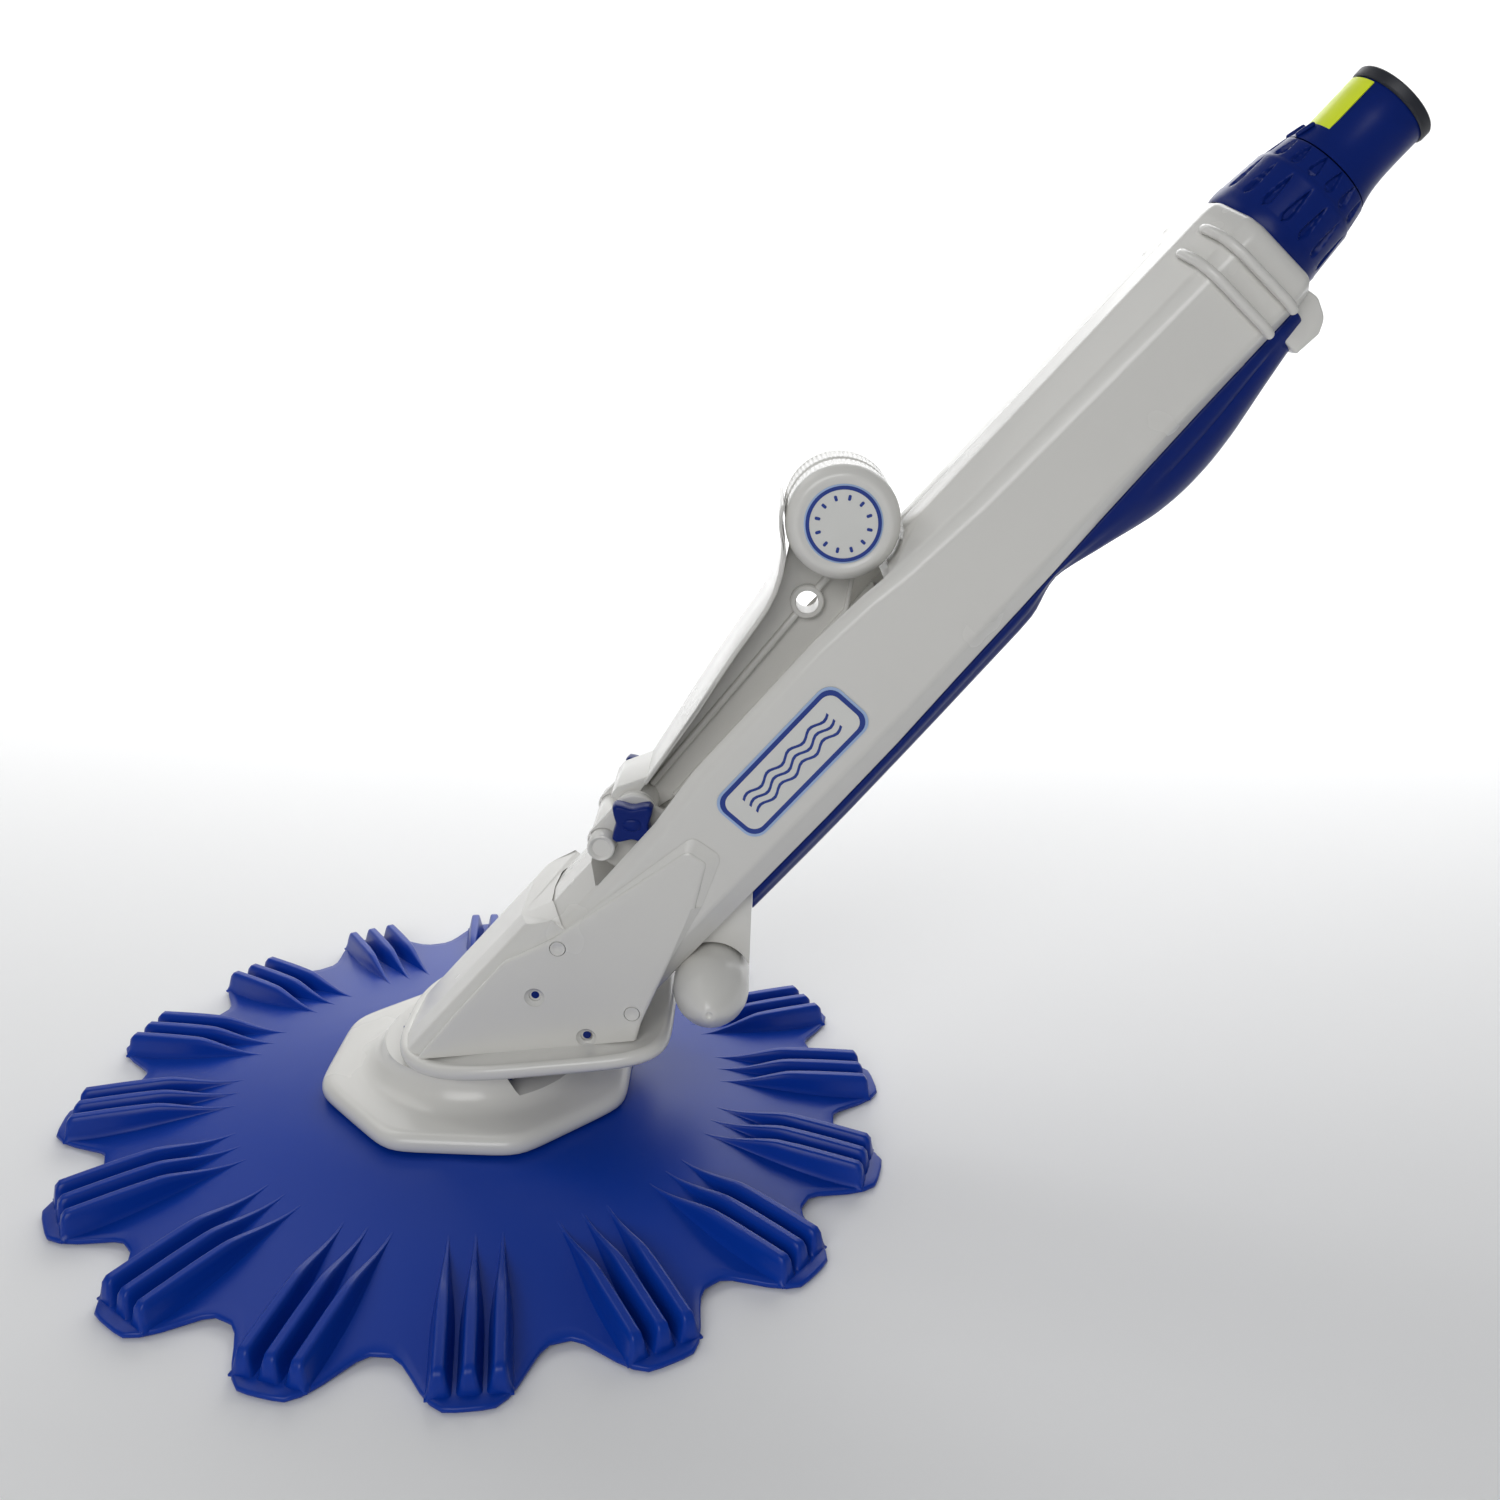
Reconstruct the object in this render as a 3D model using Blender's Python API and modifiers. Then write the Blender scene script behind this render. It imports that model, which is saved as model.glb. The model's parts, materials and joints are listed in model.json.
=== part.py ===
"""Suction-side pool cleaner: finned disc, foot, long leaning casing, bumper arm and swivel hose tail.

The model stands on its disc with +Z up, and the casing leans towards +X. The casing, and all it
carries, is laid out in a tube frame: local Z is the casing's axis, local X points down out of its
belly, and the distance along the axis is called a station. All sizes are in metres.
"""

from math import asin, atan2, cos, hypot, pi, radians, sin, tan

import bmesh
import bpy
from mathutils import Matrix, Vector

# Clearances
GAP = 0.0003
MERGE = 0.00001

# Disc
DISC_RADIUS = 0.2155
DISC_NOTCH_RADIUS = 0.188
DISC_LOBES = 16
DISC_STEPS_PER_LOBE = 6
DISC_TURN = radians(9.23)
DISC_THICKNESS = 0.003
DISC_HUB_RADIUS = 0.080
DISC_KNEE_RADIUS = 0.129
DISC_KNEE_TOP = 0.015
DISC_FLAT_RADIUS = 0.199
LOBE_FLAT = radians(2.2)
NOTCH_FLAT = radians(1.1)
RIB_SPACING = 0.0122
RIB_WIDTH = 0.0050
RIB_START = 0.129
RIB_END = 0.2095
RIB_CREST = 0.018
RIB_END_TOP = 0.0138

# Foot, sole ring and liner
SOLE_BOTTOM = 0.004
SOLE_RADIUS = 0.066
MOUTH_RADIUS = 0.038
SPIGOT_RADIUS = 0.0457
SPIGOT_BOTTOM = 0.008
DISC_HUB_TOP = 0.0227
FLANGE_THICKNESS = 0.0100
FLANGE_HALF = 0.079
NECK_RADIUS = 0.050
NECK_FLARE = 0.013
PORT_WIDTH = 0.022
PORT_INSET = 0.006
PORT_AZIMUTH = radians(42)
LINER_WALL = 0.0025
LINER_TOP = 0.042

# Collar between the neck and the casing
COLLAR_TILT = radians(8)
COLLAR_X = 0.031
COLLAR_TOP_AT_AXIS = 0.0585
COLLAR_HALF_LENGTH = 0.072
COLLAR_HALF_WIDTH = 0.062
COLLAR_CORNER = 0.028
COLLAR_THICKNESS = 0.007
PASSAGE_MARGIN = 0.002
PASSAGE_CORNER = 0.010

# Casing
LEAN = radians(40)
AXIS_LIFT = 0.023
CASING_HALF_WIDTH = 0.043
CROWN = 0.031
CROWN_HALF = CASING_HALF_WIDTH - 0.025
SHOULDER_DROP = 0.0105
SHOULDER_IN = 0.004
SIDE_TOP = 0.015
SIDE_BOTTOM = -0.017
BELLY = -0.030
BELLY_HALF = CASING_HALF_WIDTH - 0.013
WALL = 0.003
CASING_TOP = 0.556
RAIL_STATIONS = (0.536, 0.549)
RAIL_WIDTH = 0.004
RAIL_PROUD = 0.0025
RECESS_START = 0.160
RECESS_END = 0.357
RECESS_FLOOR = 0.014

# Front hood and side panels
HOOD_TOP = 0.037
HOOD_END = 0.128
PANEL_THICKNESS = 0.0027
PANEL_FRONT = 0.028
PANEL_SHOULDER = 0.105
PANEL_TIP = 0.209
PANEL_TIP_TOP = 0.0075
PANEL_TIP_BOTTOM = -0.009
PANEL_REAR_STATION = 0.099
PANEL_REAR_HEIGHT = -0.0455
PIN_RADIUS = 0.0020
PIN_STATION = 0.0935
FLAPPER_PIN_HEIGHT = 0.0095
THROAT_PIN_HEIGHT = -0.0235
PIN_SINK = 0.0055
PLUG_RADIUS = 0.0037
PLUG_PLACES = ((0.1216, 0.0180), (0.1188, -0.0315))

# Throat, flappers and inner pipes
THROAT_TOP = 0.132
THROAT_WALL = 0.0025
FLAPPER_LENGTH = 0.033
FLAPPER_BARREL = 0.0045
PIPE_RADIUS = 0.0158
PIPE_WALL = 0.0018
PIPE_OFFSET = 0.0175
PIPE_HEIGHT = -0.009
PIPE_START = 0.136
PIPE_END = 0.530
BULKHEAD_STATIONS = (0.150, 0.522)
BULKHEAD_THICKNESS = 0.004

# Belly cover and float
COVER_STRIP = -0.0435
COVER_WAIST = -0.0385
COVER_BULGE = -0.0550
COVER_START_X = 0.1398
COVER_WAIST_STATION = 0.408
COVER_DEEPEST_STATION = 0.470
COVER_END = 0.555
COVER_WALL = 0.003
TAB_LENGTH = 0.012

# Outlet, nut and hose tail
OUTLET_END = 0.566
SPIGOT_TUBE_RADIUS = 0.0200
BORE_RADIUS = 0.0160
SPIGOT_END = 0.5895
NUT_RADIUS = 0.0280
NUT_SKIRT_END = 0.574
NUT_SHOULDER_RADIUS = 0.0255
NUT_SHOULDER = 0.598
NUT_END = 0.606
WASHER_THICKNESS = 0.0010
TAIL_FLANGE_RADIUS = 0.0230
TAIL_FLANGE_THICKNESS = 0.0060
TAIL_RADIUS = 0.0187
TAIL_END = 0.645
SEAL_LENGTH = 0.005
SEAL_PROUD = 0.0012
LABEL_WIDTH = 0.015
LABEL_THICKNESS = 0.0006

# Bumper arm, its saddle, knobs and wheels
ARM_PIVOT = (0.1918, 0.0316)
WHEEL_CENTRE = (0.3617, 0.0540)
STOP_PIN = (0.1714, 0.0341)
STOP_PIN_RADIUS = 0.0068
STOP_PIN_HALF = 0.035
ARM_HEEL = (-0.0010, 0.0146)
EAR_INNER = 0.0210
EAR_THICKNESS = 0.0050
HUB_RADIUS = 0.0105
BOLT_RADIUS = 0.0030
WEB_HALF = 0.0030
FLANGE_WALL = 0.0022
FLANGE_WALL_HALF = 0.0290
FLANGE_WALL_START = 0.0140
HEEL_HALF = 0.0195
RIB_HALF = 0.0075
EYE_RADIUS = 0.0240
WINDOW_PLACE = (0.1295, -0.0106)
WINDOW_RADIUS = 0.0053
WINDOW_RING = 0.0081
WHEEL_RADIUS = 0.0260
WHEEL_HALF = 0.0300
WHEEL_FACE_RADIUS = 0.0222
WHEEL_AXLE_RADIUS = 0.0040
WHEEL_WELL = 0.0025
CAP_RADIUS = 0.0172
CAP_THICKNESS = 0.0008
KNOB_HALF = 0.0100
KNOB_PINCH = 0.0020
KNOB_THICKNESS = 0.0090
KNOB_NECK_RADIUS = 0.0070
KNOB_NECK_LENGTH = 0.0035

# Rear rollers and their bracket
ROLLER_X = 0.121
ROLLER_Z = 0.095
ROLLER_RADIUS = 0.0187
ROLLER_INNER = 0.0106
ROLLER_CYLINDER_END = 0.0380
ROLLER_TIP = 0.0610
ROLLER_TIP_RADIUS = 0.0035
ROLLER_AXLE_RADIUS = 0.0030
BRACKET_FRONT = 0.106
BRACKET_HALF = 0.0240
BRACKET_LEG_HALF = 0.0100
BRACKET_BLOCK_BOTTOM = 0.104

# Badge plates
BADGE_STATION = 0.2668
BADGE_HEIGHT = -0.0018
BADGE_HALF_LENGTH = 0.0405
BADGE_HALF_WIDTH = 0.0143
BADGE_CORNER = 0.007
BADGE_THICKNESS = 0.0006

# Colours: base colour, roughness
WHITE = ("white_plastic", (0.80, 0.80, 0.77), 0.30)
BLUE = ("blue_plastic", (0.010, 0.030, 0.230), 0.28)
DISC_BLUE = ("disc_rubber", (0.010, 0.050, 0.420), 0.38)
BLACK = ("seal_rubber", (0.010, 0.012, 0.018), 0.60)
YELLOW = ("label_film", (0.780, 0.900, 0.030), 0.45)
FOAM = ("float_foam", (0.70, 0.72, 0.74), 0.85)
STEEL = ("stainless_steel", (0.60, 0.60, 0.62), 0.25)
BADGE = ("badge_film", (0.62, 0.70, 0.80), 0.40)


# ---------------------------------------------------------------- scene, frames and materials

for old in list(bpy.data.objects):
    bpy.data.objects.remove(old, do_unlink=True)

cleaner = bpy.data.collections.new("pool_cleaner")
cutters = bpy.data.collections.new("cutters")
bpy.context.scene.collection.children.link(cleaner)
bpy.context.scene.collection.children.link(cutters)


def material(name, colour, roughness):
    """Return the Principled material of this name, made once."""
    if name in bpy.data.materials:
        return bpy.data.materials[name]
    made = bpy.data.materials.new(name)
    made.use_nodes = True
    shader = made.node_tree.nodes["Principled BSDF"]
    shader.inputs["Base Color"].default_value = (*colour, 1.0)
    shader.inputs["Roughness"].default_value = roughness
    shader.inputs["Metallic"].default_value = 1.0 if name == "stainless_steel" else 0.0
    return made


def frame(name, parent=None, location=(0, 0, 0), rotation=None):
    """Add an empty that places what is parented to it."""
    empty = bpy.data.objects.new(name, None)
    empty.empty_display_size = 0.02
    cleaner.objects.link(empty)
    empty.parent = parent
    empty.matrix_local = Matrix.Translation(location) @ (rotation or Matrix()).to_4x4()
    return empty


def smoothstep(t):
    t = min(1.0, max(0.0, t))
    return t * t * (3 - 2 * t)


def disc_edge(turn):
    """Return the radius of the scalloped edge at this angle from a lobe's centre line."""
    pitch = 2 * pi / DISC_LOBES
    offset = abs((turn + pitch / 2) % pitch - pitch / 2)
    fall = (pitch / 2 - NOTCH_FLAT - offset) / (pitch / 2 - NOTCH_FLAT - LOBE_FLAT)
    return DISC_NOTCH_RADIUS + (DISC_RADIUS - DISC_NOTCH_RADIUS) * smoothstep(fall)


DISC_COLUMNS = DISC_LOBES * DISC_STEPS_PER_LOBE
DISC_REACH = max(
    disc_edge(2 * pi * i / DISC_COLUMNS) * cos(2 * pi * i / DISC_COLUMNS + DISC_TURN)
    for i in range(DISC_COLUMNS)
)
TAIL_REACH = TAIL_END * sin(LEAN) - AXIS_LIFT * cos(LEAN) + (TAIL_RADIUS + SEAL_PROUD) * cos(LEAN)

# The origin is the middle of the whole object's footprint, on the floor.
body = frame("body_frame", location=((DISC_REACH - TAIL_REACH) / 2, 0, 0))
side = frame("side_frame", body, rotation=Matrix.Rotation(pi / 2, 3, "X"))
tube = frame(
    "tube_frame",
    body,
    location=(-AXIS_LIFT * cos(LEAN), 0, AXIS_LIFT * sin(LEAN)),
    rotation=Matrix.Rotation(LEAN, 3, "Y"),
)
# In the tube's side frame local X is the station and local Y the height above the axis.
SIDE_TURN = Matrix(((0, -1, 0), (0, 0, -1), (1, 0, 0)))
tube_side = frame("tube_side_frame", tube, rotation=SIDE_TURN)
collar_height = COLLAR_TOP_AT_AXIS + COLLAR_X * tan(COLLAR_TILT)
collar_frame = frame(
    "collar_frame",
    body,
    location=(COLLAR_X, 0, collar_height),
    rotation=Matrix.Rotation(-COLLAR_TILT, 3, "Y"),
)


# ---------------------------------------------------------------- shape helpers


def add(name, mesh, finish, parent, location=(0, 0, 0), smooth=30):
    """Add a finished piece, or a cutter when it has no finish."""
    piece = bpy.data.objects.new(name, mesh)
    (cleaner if finish else cutters).objects.link(piece)
    piece.parent = parent
    piece.location = location
    if finish:
        mesh.materials.clear()
        mesh.materials.append(material(*finish))
        mesh.shade_smooth()
        mesh.set_sharp_from_angle(angle=radians(smooth))
    else:
        piece.hide_render = True
        piece.display_type = "WIRE"
    return piece


def prism(outline, low, high):
    """Return a mesh of a flat outline in local XY, from low to high in local Z."""
    curve = bpy.data.curves.new("outline", "CURVE")
    curve.dimensions = "2D"
    curve.fill_mode = "BOTH"
    curve.extrude = (high - low) / 2
    spline = curve.splines.new("POLY")
    spline.points.add(len(outline) - 1)
    for point, (x, y) in zip(spline.points, outline):
        point.co = (x, y, 0, 1)
    spline.use_cyclic_u = True
    holder = bpy.data.objects.new("outline", curve)
    cleaner.objects.link(holder)
    graph = bpy.context.evaluated_depsgraph_get()
    mesh = bpy.data.meshes.new_from_object(holder.evaluated_get(graph))
    bpy.data.objects.remove(holder)
    bpy.data.curves.remove(curve)
    work = bmesh.new()
    work.from_mesh(mesh)
    bmesh.ops.remove_doubles(work, verts=work.verts, dist=MERGE)
    bmesh.ops.translate(work, verts=work.verts, vec=(0, 0, (low + high) / 2))
    bmesh.ops.recalc_face_normals(work, faces=work.faces)
    work.to_mesh(mesh)
    work.free()
    return mesh


def cylinder(radius, low, high, axis="Z", segments=32, top_radius=None):
    """Return a mesh of a cylinder or cone from low to high along an axis."""
    mesh = bpy.data.meshes.new("cylinder")
    work = bmesh.new()
    bmesh.ops.create_cone(
        work,
        cap_ends=True,
        segments=segments,
        radius1=radius,
        radius2=radius if top_radius is None else top_radius,
        depth=high - low,
        matrix=Matrix.Translation((0, 0, (low + high) / 2)),
    )
    if axis == "Y":
        bmesh.ops.rotate(work, verts=work.verts, matrix=Matrix.Rotation(-pi / 2, 3, "X"))
    work.to_mesh(mesh)
    work.free()
    return mesh


def box(low, high):
    """Return a mesh of a box between two corners."""
    mesh = bpy.data.meshes.new("box")
    work = bmesh.new()
    size = Vector(high) - Vector(low)
    middle = (Vector(high) + Vector(low)) / 2
    bmesh.ops.create_cube(work, size=1, matrix=Matrix.Translation(middle) @ Matrix.Diagonal((*size, 1)))
    work.to_mesh(mesh)
    work.free()
    return mesh


def turned(name, profile, finish, parent, location=(0, 0, 0), steps=48, closed=True, axis="Z"):
    """Add a turned piece from (radius, height) points that run down its outer side."""
    mesh = bpy.data.meshes.new(name)
    work = bmesh.new()
    verts = [work.verts.new((r, 0, z)) for r, z in profile]
    for a, b in zip(verts, verts[1:]):
        work.edges.new((a, b))
    if closed:
        work.edges.new((verts[-1], verts[0]))
    work.to_mesh(mesh)
    work.free()
    piece = add(name, mesh, finish, parent, location)
    if axis == "Y":
        piece.rotation_euler = (-pi / 2, 0, 0)
    screw = piece.modifiers.new("turn", "SCREW")
    screw.steps = steps
    screw.render_steps = steps
    screw.use_merge_vertices = True
    screw.merge_threshold = MERGE
    screw.use_smooth_shade = True
    return piece


def combine(piece, operation, *others):
    """Cut, join or trim a piece with other pieces."""
    for other in others:
        change = piece.modifiers.new(operation.lower(), "BOOLEAN")
        change.operation = operation
        change.object = other
        change.solver = "EXACT"


def cut(piece, *others):
    combine(piece, "DIFFERENCE", *others)


def join(piece, *others):
    combine(piece, "UNION", *others)


def soften(piece, width, segments=2, angle=40):
    """Round the piece's sharp edges."""
    bevel = piece.modifiers.new("soften", "BEVEL")
    bevel.width = width
    bevel.segments = segments
    bevel.limit_method = "ANGLE"
    bevel.angle_limit = radians(angle)
    bevel.harden_normals = False


def arc(centre, radius, start, end, steps):
    """Return points along an arc, angles in radians, ends included."""
    return [
        (
            centre[0] + radius * cos(start + (end - start) * i / steps),
            centre[1] + radius * sin(start + (end - start) * i / steps),
        )
        for i in range(steps + 1)
    ]


def rounded_rectangle(centre, half_x, half_y, corner, steps=5):
    """Return the outline of a rectangle with round corners."""
    outline = []
    for i, (sx, sy) in enumerate(((1, 1), (-1, 1), (-1, -1), (1, -1))):
        middle = (centre[0] + sx * (half_x - corner), centre[1] + sy * (half_y - corner))
        outline += arc(middle, corner, i * pi / 2, (i + 1) * pi / 2, steps)
    return outline


def inset(path, distance):
    """Shift an open path of (height, y) points inwards; its two ends stay on their y."""
    lines = []
    for (x0, y0), (x1, y1) in zip(path, path[1:]):
        length = hypot(x1 - x0, y1 - y0)
        nx, ny = (y1 - y0) / length, -(x1 - x0) / length
        lines.append(((x0 - nx * distance, y0 - ny * distance), (x1 - x0, y1 - y0)))
    points = []
    for (p, d), (q, e) in zip(lines, lines[1:]):
        cross = d[0] * e[1] - d[1] * e[0]
        t = ((q[0] - p[0]) * e[1] - (q[1] - p[1]) * e[0]) / cross
        points.append((p[0] + d[0] * t, p[1] + d[1] * t))
    first, last = lines[0], lines[-1]
    start = first[0][0] + first[1][0] * (path[0][1] - first[0][1]) / first[1][1]
    end = last[0][0] + last[1][0] * (path[-1][1] - last[0][1]) / last[1][1]
    return [(start, path[0][1])] + points + [(end, path[-1][1])]


def casing_path(clearance=0.0, start_y=GAP / 2):
    """Return the casing's half section from crown to belly as (height, y), grown by a clearance."""
    path = [
        (CROWN, start_y),
        (CROWN - 0.001, CROWN_HALF),
        (CROWN - SHOULDER_DROP, CASING_HALF_WIDTH - SHOULDER_IN),
        (SIDE_TOP, CASING_HALF_WIDTH),
        (SIDE_BOTTOM, CASING_HALF_WIDTH),
        (BELLY, BELLY_HALF),
        (BELLY, start_y),
    ]
    return inset(path, -clearance) if clearance else path


def section(path, sign=1):
    """Turn (height, y) points into the tube frame's XY."""
    return [(-height, sign * y) for height, y in path]


def full_section(path):
    """Return the closed symmetric outline of a half path."""
    return section(path) + section(path[::-1], -1)


# ---------------------------------------------------------------- disc


def disc_top(radius):
    """Return the height of the disc's upper face at a radius."""
    flat_top = DISC_THICKNESS
    knots = (
        (0.0, DISC_HUB_TOP),
        (DISC_HUB_RADIUS, DISC_HUB_TOP),
        (DISC_KNEE_RADIUS, DISC_KNEE_TOP),
        (DISC_FLAT_RADIUS, flat_top),
        (2 * DISC_RADIUS, flat_top),
    )
    for (r0, z0), (r1, z1) in zip(knots, knots[1:]):
        if radius <= r1:
            return z0 + (z1 - z0) * (radius - r0) / (r1 - r0)
    return flat_top


disc_axis = frame("disc_axis", body, rotation=Matrix.Rotation(DISC_TURN, 3, "Z"))
disc_mesh = bpy.data.meshes.new("finned_disc")
work = bmesh.new()
hole = SPIGOT_RADIUS + 2 * GAP
flat_share = (DISC_FLAT_RADIUS + 0.001 - DISC_KNEE_RADIUS) / (DISC_RADIUS - DISC_KNEE_RADIUS)
ring = bmesh.ops.create_circle(work, segments=DISC_COLUMNS, radius=hole)["verts"]
edges = list(work.edges)
bands = (
    lambda edge: DISC_HUB_RADIUS,
    lambda edge: DISC_KNEE_RADIUS,
    lambda edge: DISC_KNEE_RADIUS + (edge - DISC_KNEE_RADIUS) * flat_share,
    lambda edge: edge,
)
for band in bands:
    grown = bmesh.ops.extrude_edge_only(work, edges=edges)["geom"]
    edges = [item for item in grown if isinstance(item, bmesh.types.BMEdge)]
    for vert in {vert for edge in edges for vert in edge.verts}:
        turn = atan2(vert.co.y, vert.co.x)
        radius = band(disc_edge(turn))
        vert.co = (radius * cos(turn), radius * sin(turn), 0)
    edges = [edge for edge in edges if edge.is_boundary]
for vert in work.verts:
    vert.co.z = disc_top(vert.co.xy.length)
lower = bmesh.ops.extrude_face_region(work, geom=list(work.faces))["geom"]
bmesh.ops.translate(
    work,
    verts=[item for item in lower if isinstance(item, bmesh.types.BMVert)],
    vec=(0, 0, -DISC_THICKNESS),
)
bmesh.ops.recalc_face_normals(work, faces=work.faces)
work.to_mesh(disc_mesh)
work.free()
finned_disc = add("finned_disc", disc_mesh, DISC_BLUE, disc_axis)


def rib_outline():
    """Return a rib's side view as (radius, height), with its root sunk into the disc."""
    sink = DISC_THICKNESS / 2
    peak = RIB_START + 0.036
    return [
        (RIB_START, disc_top(RIB_START) - sink),
        (RIB_START, disc_top(RIB_START) + 0.0002),
        (peak, RIB_CREST),
        (RIB_END, RIB_END_TOP),
        (RIB_END, disc_top(RIB_END) - sink),
        (DISC_FLAT_RADIUS, disc_top(DISC_FLAT_RADIUS) - sink),
    ][::-1]


rib = prism(rib_outline(), -RIB_WIDTH / 2, RIB_WIDTH / 2)
work = bmesh.new()
for lobe in range(DISC_LOBES):
    for lane in (-1, 0, 1):
        start = len(work.verts)
        work.from_mesh(rib)
        work.verts.ensure_lookup_table()
        place = (
            Matrix.Rotation(2 * pi * lobe / DISC_LOBES, 4, "Z")
            @ Matrix.Translation((0, lane * RIB_SPACING, 0))
            @ Matrix.Rotation(pi / 2, 4, "X")
        )
        bmesh.ops.transform(work, matrix=place, verts=work.verts[start:])
ribs_mesh = bpy.data.meshes.new("ribs")
work.to_mesh(ribs_mesh)
work.free()
join(finned_disc, add("ribs", ribs_mesh, None, disc_axis))
disc_weld = finned_disc.modifiers.new("weld", "WELD")
disc_weld.merge_threshold = MERGE

# ---------------------------------------------------------------- foot, sole ring, liner and collar

# The throat's two channels, in the tube's heights and widths.
channel_out = CASING_HALF_WIDTH - WALL - GAP - THROAT_WALL - 0.002
channel_in = THROAT_WALL / 2 + 0.0002
channel_top = CROWN - WALL - GAP - THROAT_WALL - 0.006
channel_bottom = THROAT_PIN_HEIGHT + PIN_RADIUS + THROAT_WALL


def on_collar(height):
    """Return where the casing's line at this height meets the collar's top, along the collar's X."""
    lift = AXIS_LIFT + height
    drop = lift * sin(LEAN) + tan(COLLAR_TILT) * (lift * cos(LEAN) + COLLAR_X)
    station = (collar_height - drop) / (cos(LEAN) - tan(COLLAR_TILT) * sin(LEAN))
    return (station * sin(LEAN) - lift * cos(LEAN) - COLLAR_X) / cos(COLLAR_TILT)



flange_bottom = DISC_HUB_TOP + GAP
flange_top = flange_bottom + FLANGE_THICKNESS
corner = FLANGE_HALF / cos(pi / 8)
octagon = [(corner * cos(pi / 8 + i * pi / 4), corner * sin(pi / 8 + i * pi / 4)) for i in range(8)]
foot = add("foot", prism(octagon, flange_bottom, flange_top), WHITE, body)
soften(foot, 0.0035, segments=3, angle=30)
neck_top = COLLAR_TOP_AT_AXIS + 0.030
foot_core = turned(
    "foot_core",
    [
        (0, neck_top),
        (NECK_RADIUS, neck_top),
        (NECK_RADIUS, flange_top + NECK_FLARE),
        (NECK_RADIUS + 0.2 * NECK_FLARE, flange_top + 0.5 * NECK_FLARE),
        (NECK_RADIUS + 0.5 * NECK_FLARE, flange_top + 0.2 * NECK_FLARE),
        (NECK_RADIUS + NECK_FLARE, flange_top - 0.001),
        (SPIGOT_RADIUS, flange_top - 0.004),
        (SPIGOT_RADIUS, SPIGOT_BOTTOM),
        (0, SPIGOT_BOTTOM),
    ],
    None,
    body,
    steps=40,
    closed=False,
)
join(foot, foot_core)
above = -(COLLAR_THICKNESS + GAP)
cut(foot, add("neck_trim", box((-0.2, -0.2, above), (0.2, 0.2, 0.2)), None, collar_frame))
cut(foot, add("mouth_cutter", cylinder(MOUTH_RADIUS, 0, 2 * neck_top, segments=40), None, body))
for name, turn in (("left", -PORT_AZIMUTH), ("right", PORT_AZIMUTH)):
    port_frame = frame(f"port_{name}_frame", body, rotation=Matrix.Rotation(turn, 3, "Z"))
    low = flange_top + 0.6 * NECK_FLARE
    near = MOUTH_RADIUS - PORT_INSET
    port = box((near, -PORT_WIDTH / 2, low), (NECK_RADIUS + 0.02, PORT_WIDTH / 2, neck_top))
    cut(foot, add(f"port_{name}", port, None, port_frame))
weld = foot.modifiers.new("weld", "WELD")
weld.merge_threshold = MERGE

hub_bottom = DISC_HUB_TOP - DISC_THICKNESS
sole_ring = turned(
    "sole_ring",
    [
        (SOLE_RADIUS - 0.003, hub_bottom - GAP),
        (SOLE_RADIUS, hub_bottom - GAP - 0.003),
        (SOLE_RADIUS, SOLE_BOTTOM + 0.003),
        (SOLE_RADIUS - 0.003, SOLE_BOTTOM),
        (MOUTH_RADIUS, SOLE_BOTTOM),
        (MOUTH_RADIUS, SPIGOT_BOTTOM - GAP),
        (SPIGOT_RADIUS + GAP, SPIGOT_BOTTOM - GAP),
        (SPIGOT_RADIUS + GAP, hub_bottom - GAP),
    ],
    BLACK,
    body,
    steps=36,
)
liner_radius = MOUTH_RADIUS - GAP
turned(
    "neck_liner",
    [
        (liner_radius, LINER_TOP),
        (liner_radius, SPIGOT_BOTTOM),
        (liner_radius - LINER_WALL, SPIGOT_BOTTOM),
        (liner_radius - LINER_WALL, LINER_TOP),
    ],
    BLUE,
    body,
    steps=28,
)

collar_outline = rounded_rectangle((0, 0), COLLAR_HALF_LENGTH, COLLAR_HALF_WIDTH, COLLAR_CORNER)
collar = add("lip_collar", prism(collar_outline, -COLLAR_THICKNESS, 0), WHITE, collar_frame)
soften(collar, 0.0025)
passage_front = on_collar(channel_top) - PASSAGE_MARGIN
passage_rear = on_collar(channel_bottom) + PASSAGE_MARGIN
passage_middle = ((passage_front + passage_rear) / 2, 0)
passage_half = (passage_rear - passage_front) / 2
passage = rounded_rectangle(passage_middle, passage_half, channel_out, PASSAGE_CORNER)
passage_cutter = prism(passage, -2 * COLLAR_THICKNESS, COLLAR_THICKNESS)
cut(collar, add("collar_passage", passage_cutter, None, collar_frame))
head_trim = add("head_trim", box((-0.2, -0.2, -0.2), (0.2, 0.2, GAP)), None, collar_frame)

# ---------------------------------------------------------------- casing halves, cradle and hood

pivot = Vector(ARM_PIVOT)
wheel = Vector(WHEEL_CENTRE)
well_radius = WHEEL_RADIUS + WHEEL_WELL
recess_cutter = prism(
    [
        (RECESS_START, RECESS_FLOOR),
        (RECESS_END, RECESS_FLOOR),
        (RECESS_END, CROWN + 0.02),
        (RECESS_START, CROWN + 0.02),
    ],
    -0.1,
    0.1,
)
recess = add("recess_cutter", recess_cutter, None, tube_side)
well_mesh = cylinder(well_radius, -0.1, 0.1, segments=48)
well = add("well_cutter", well_mesh, None, tube_side, (wheel.x, wheel.y, 0))
outer_path = casing_path()
inner_path = inset(outer_path, WALL)

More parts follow.
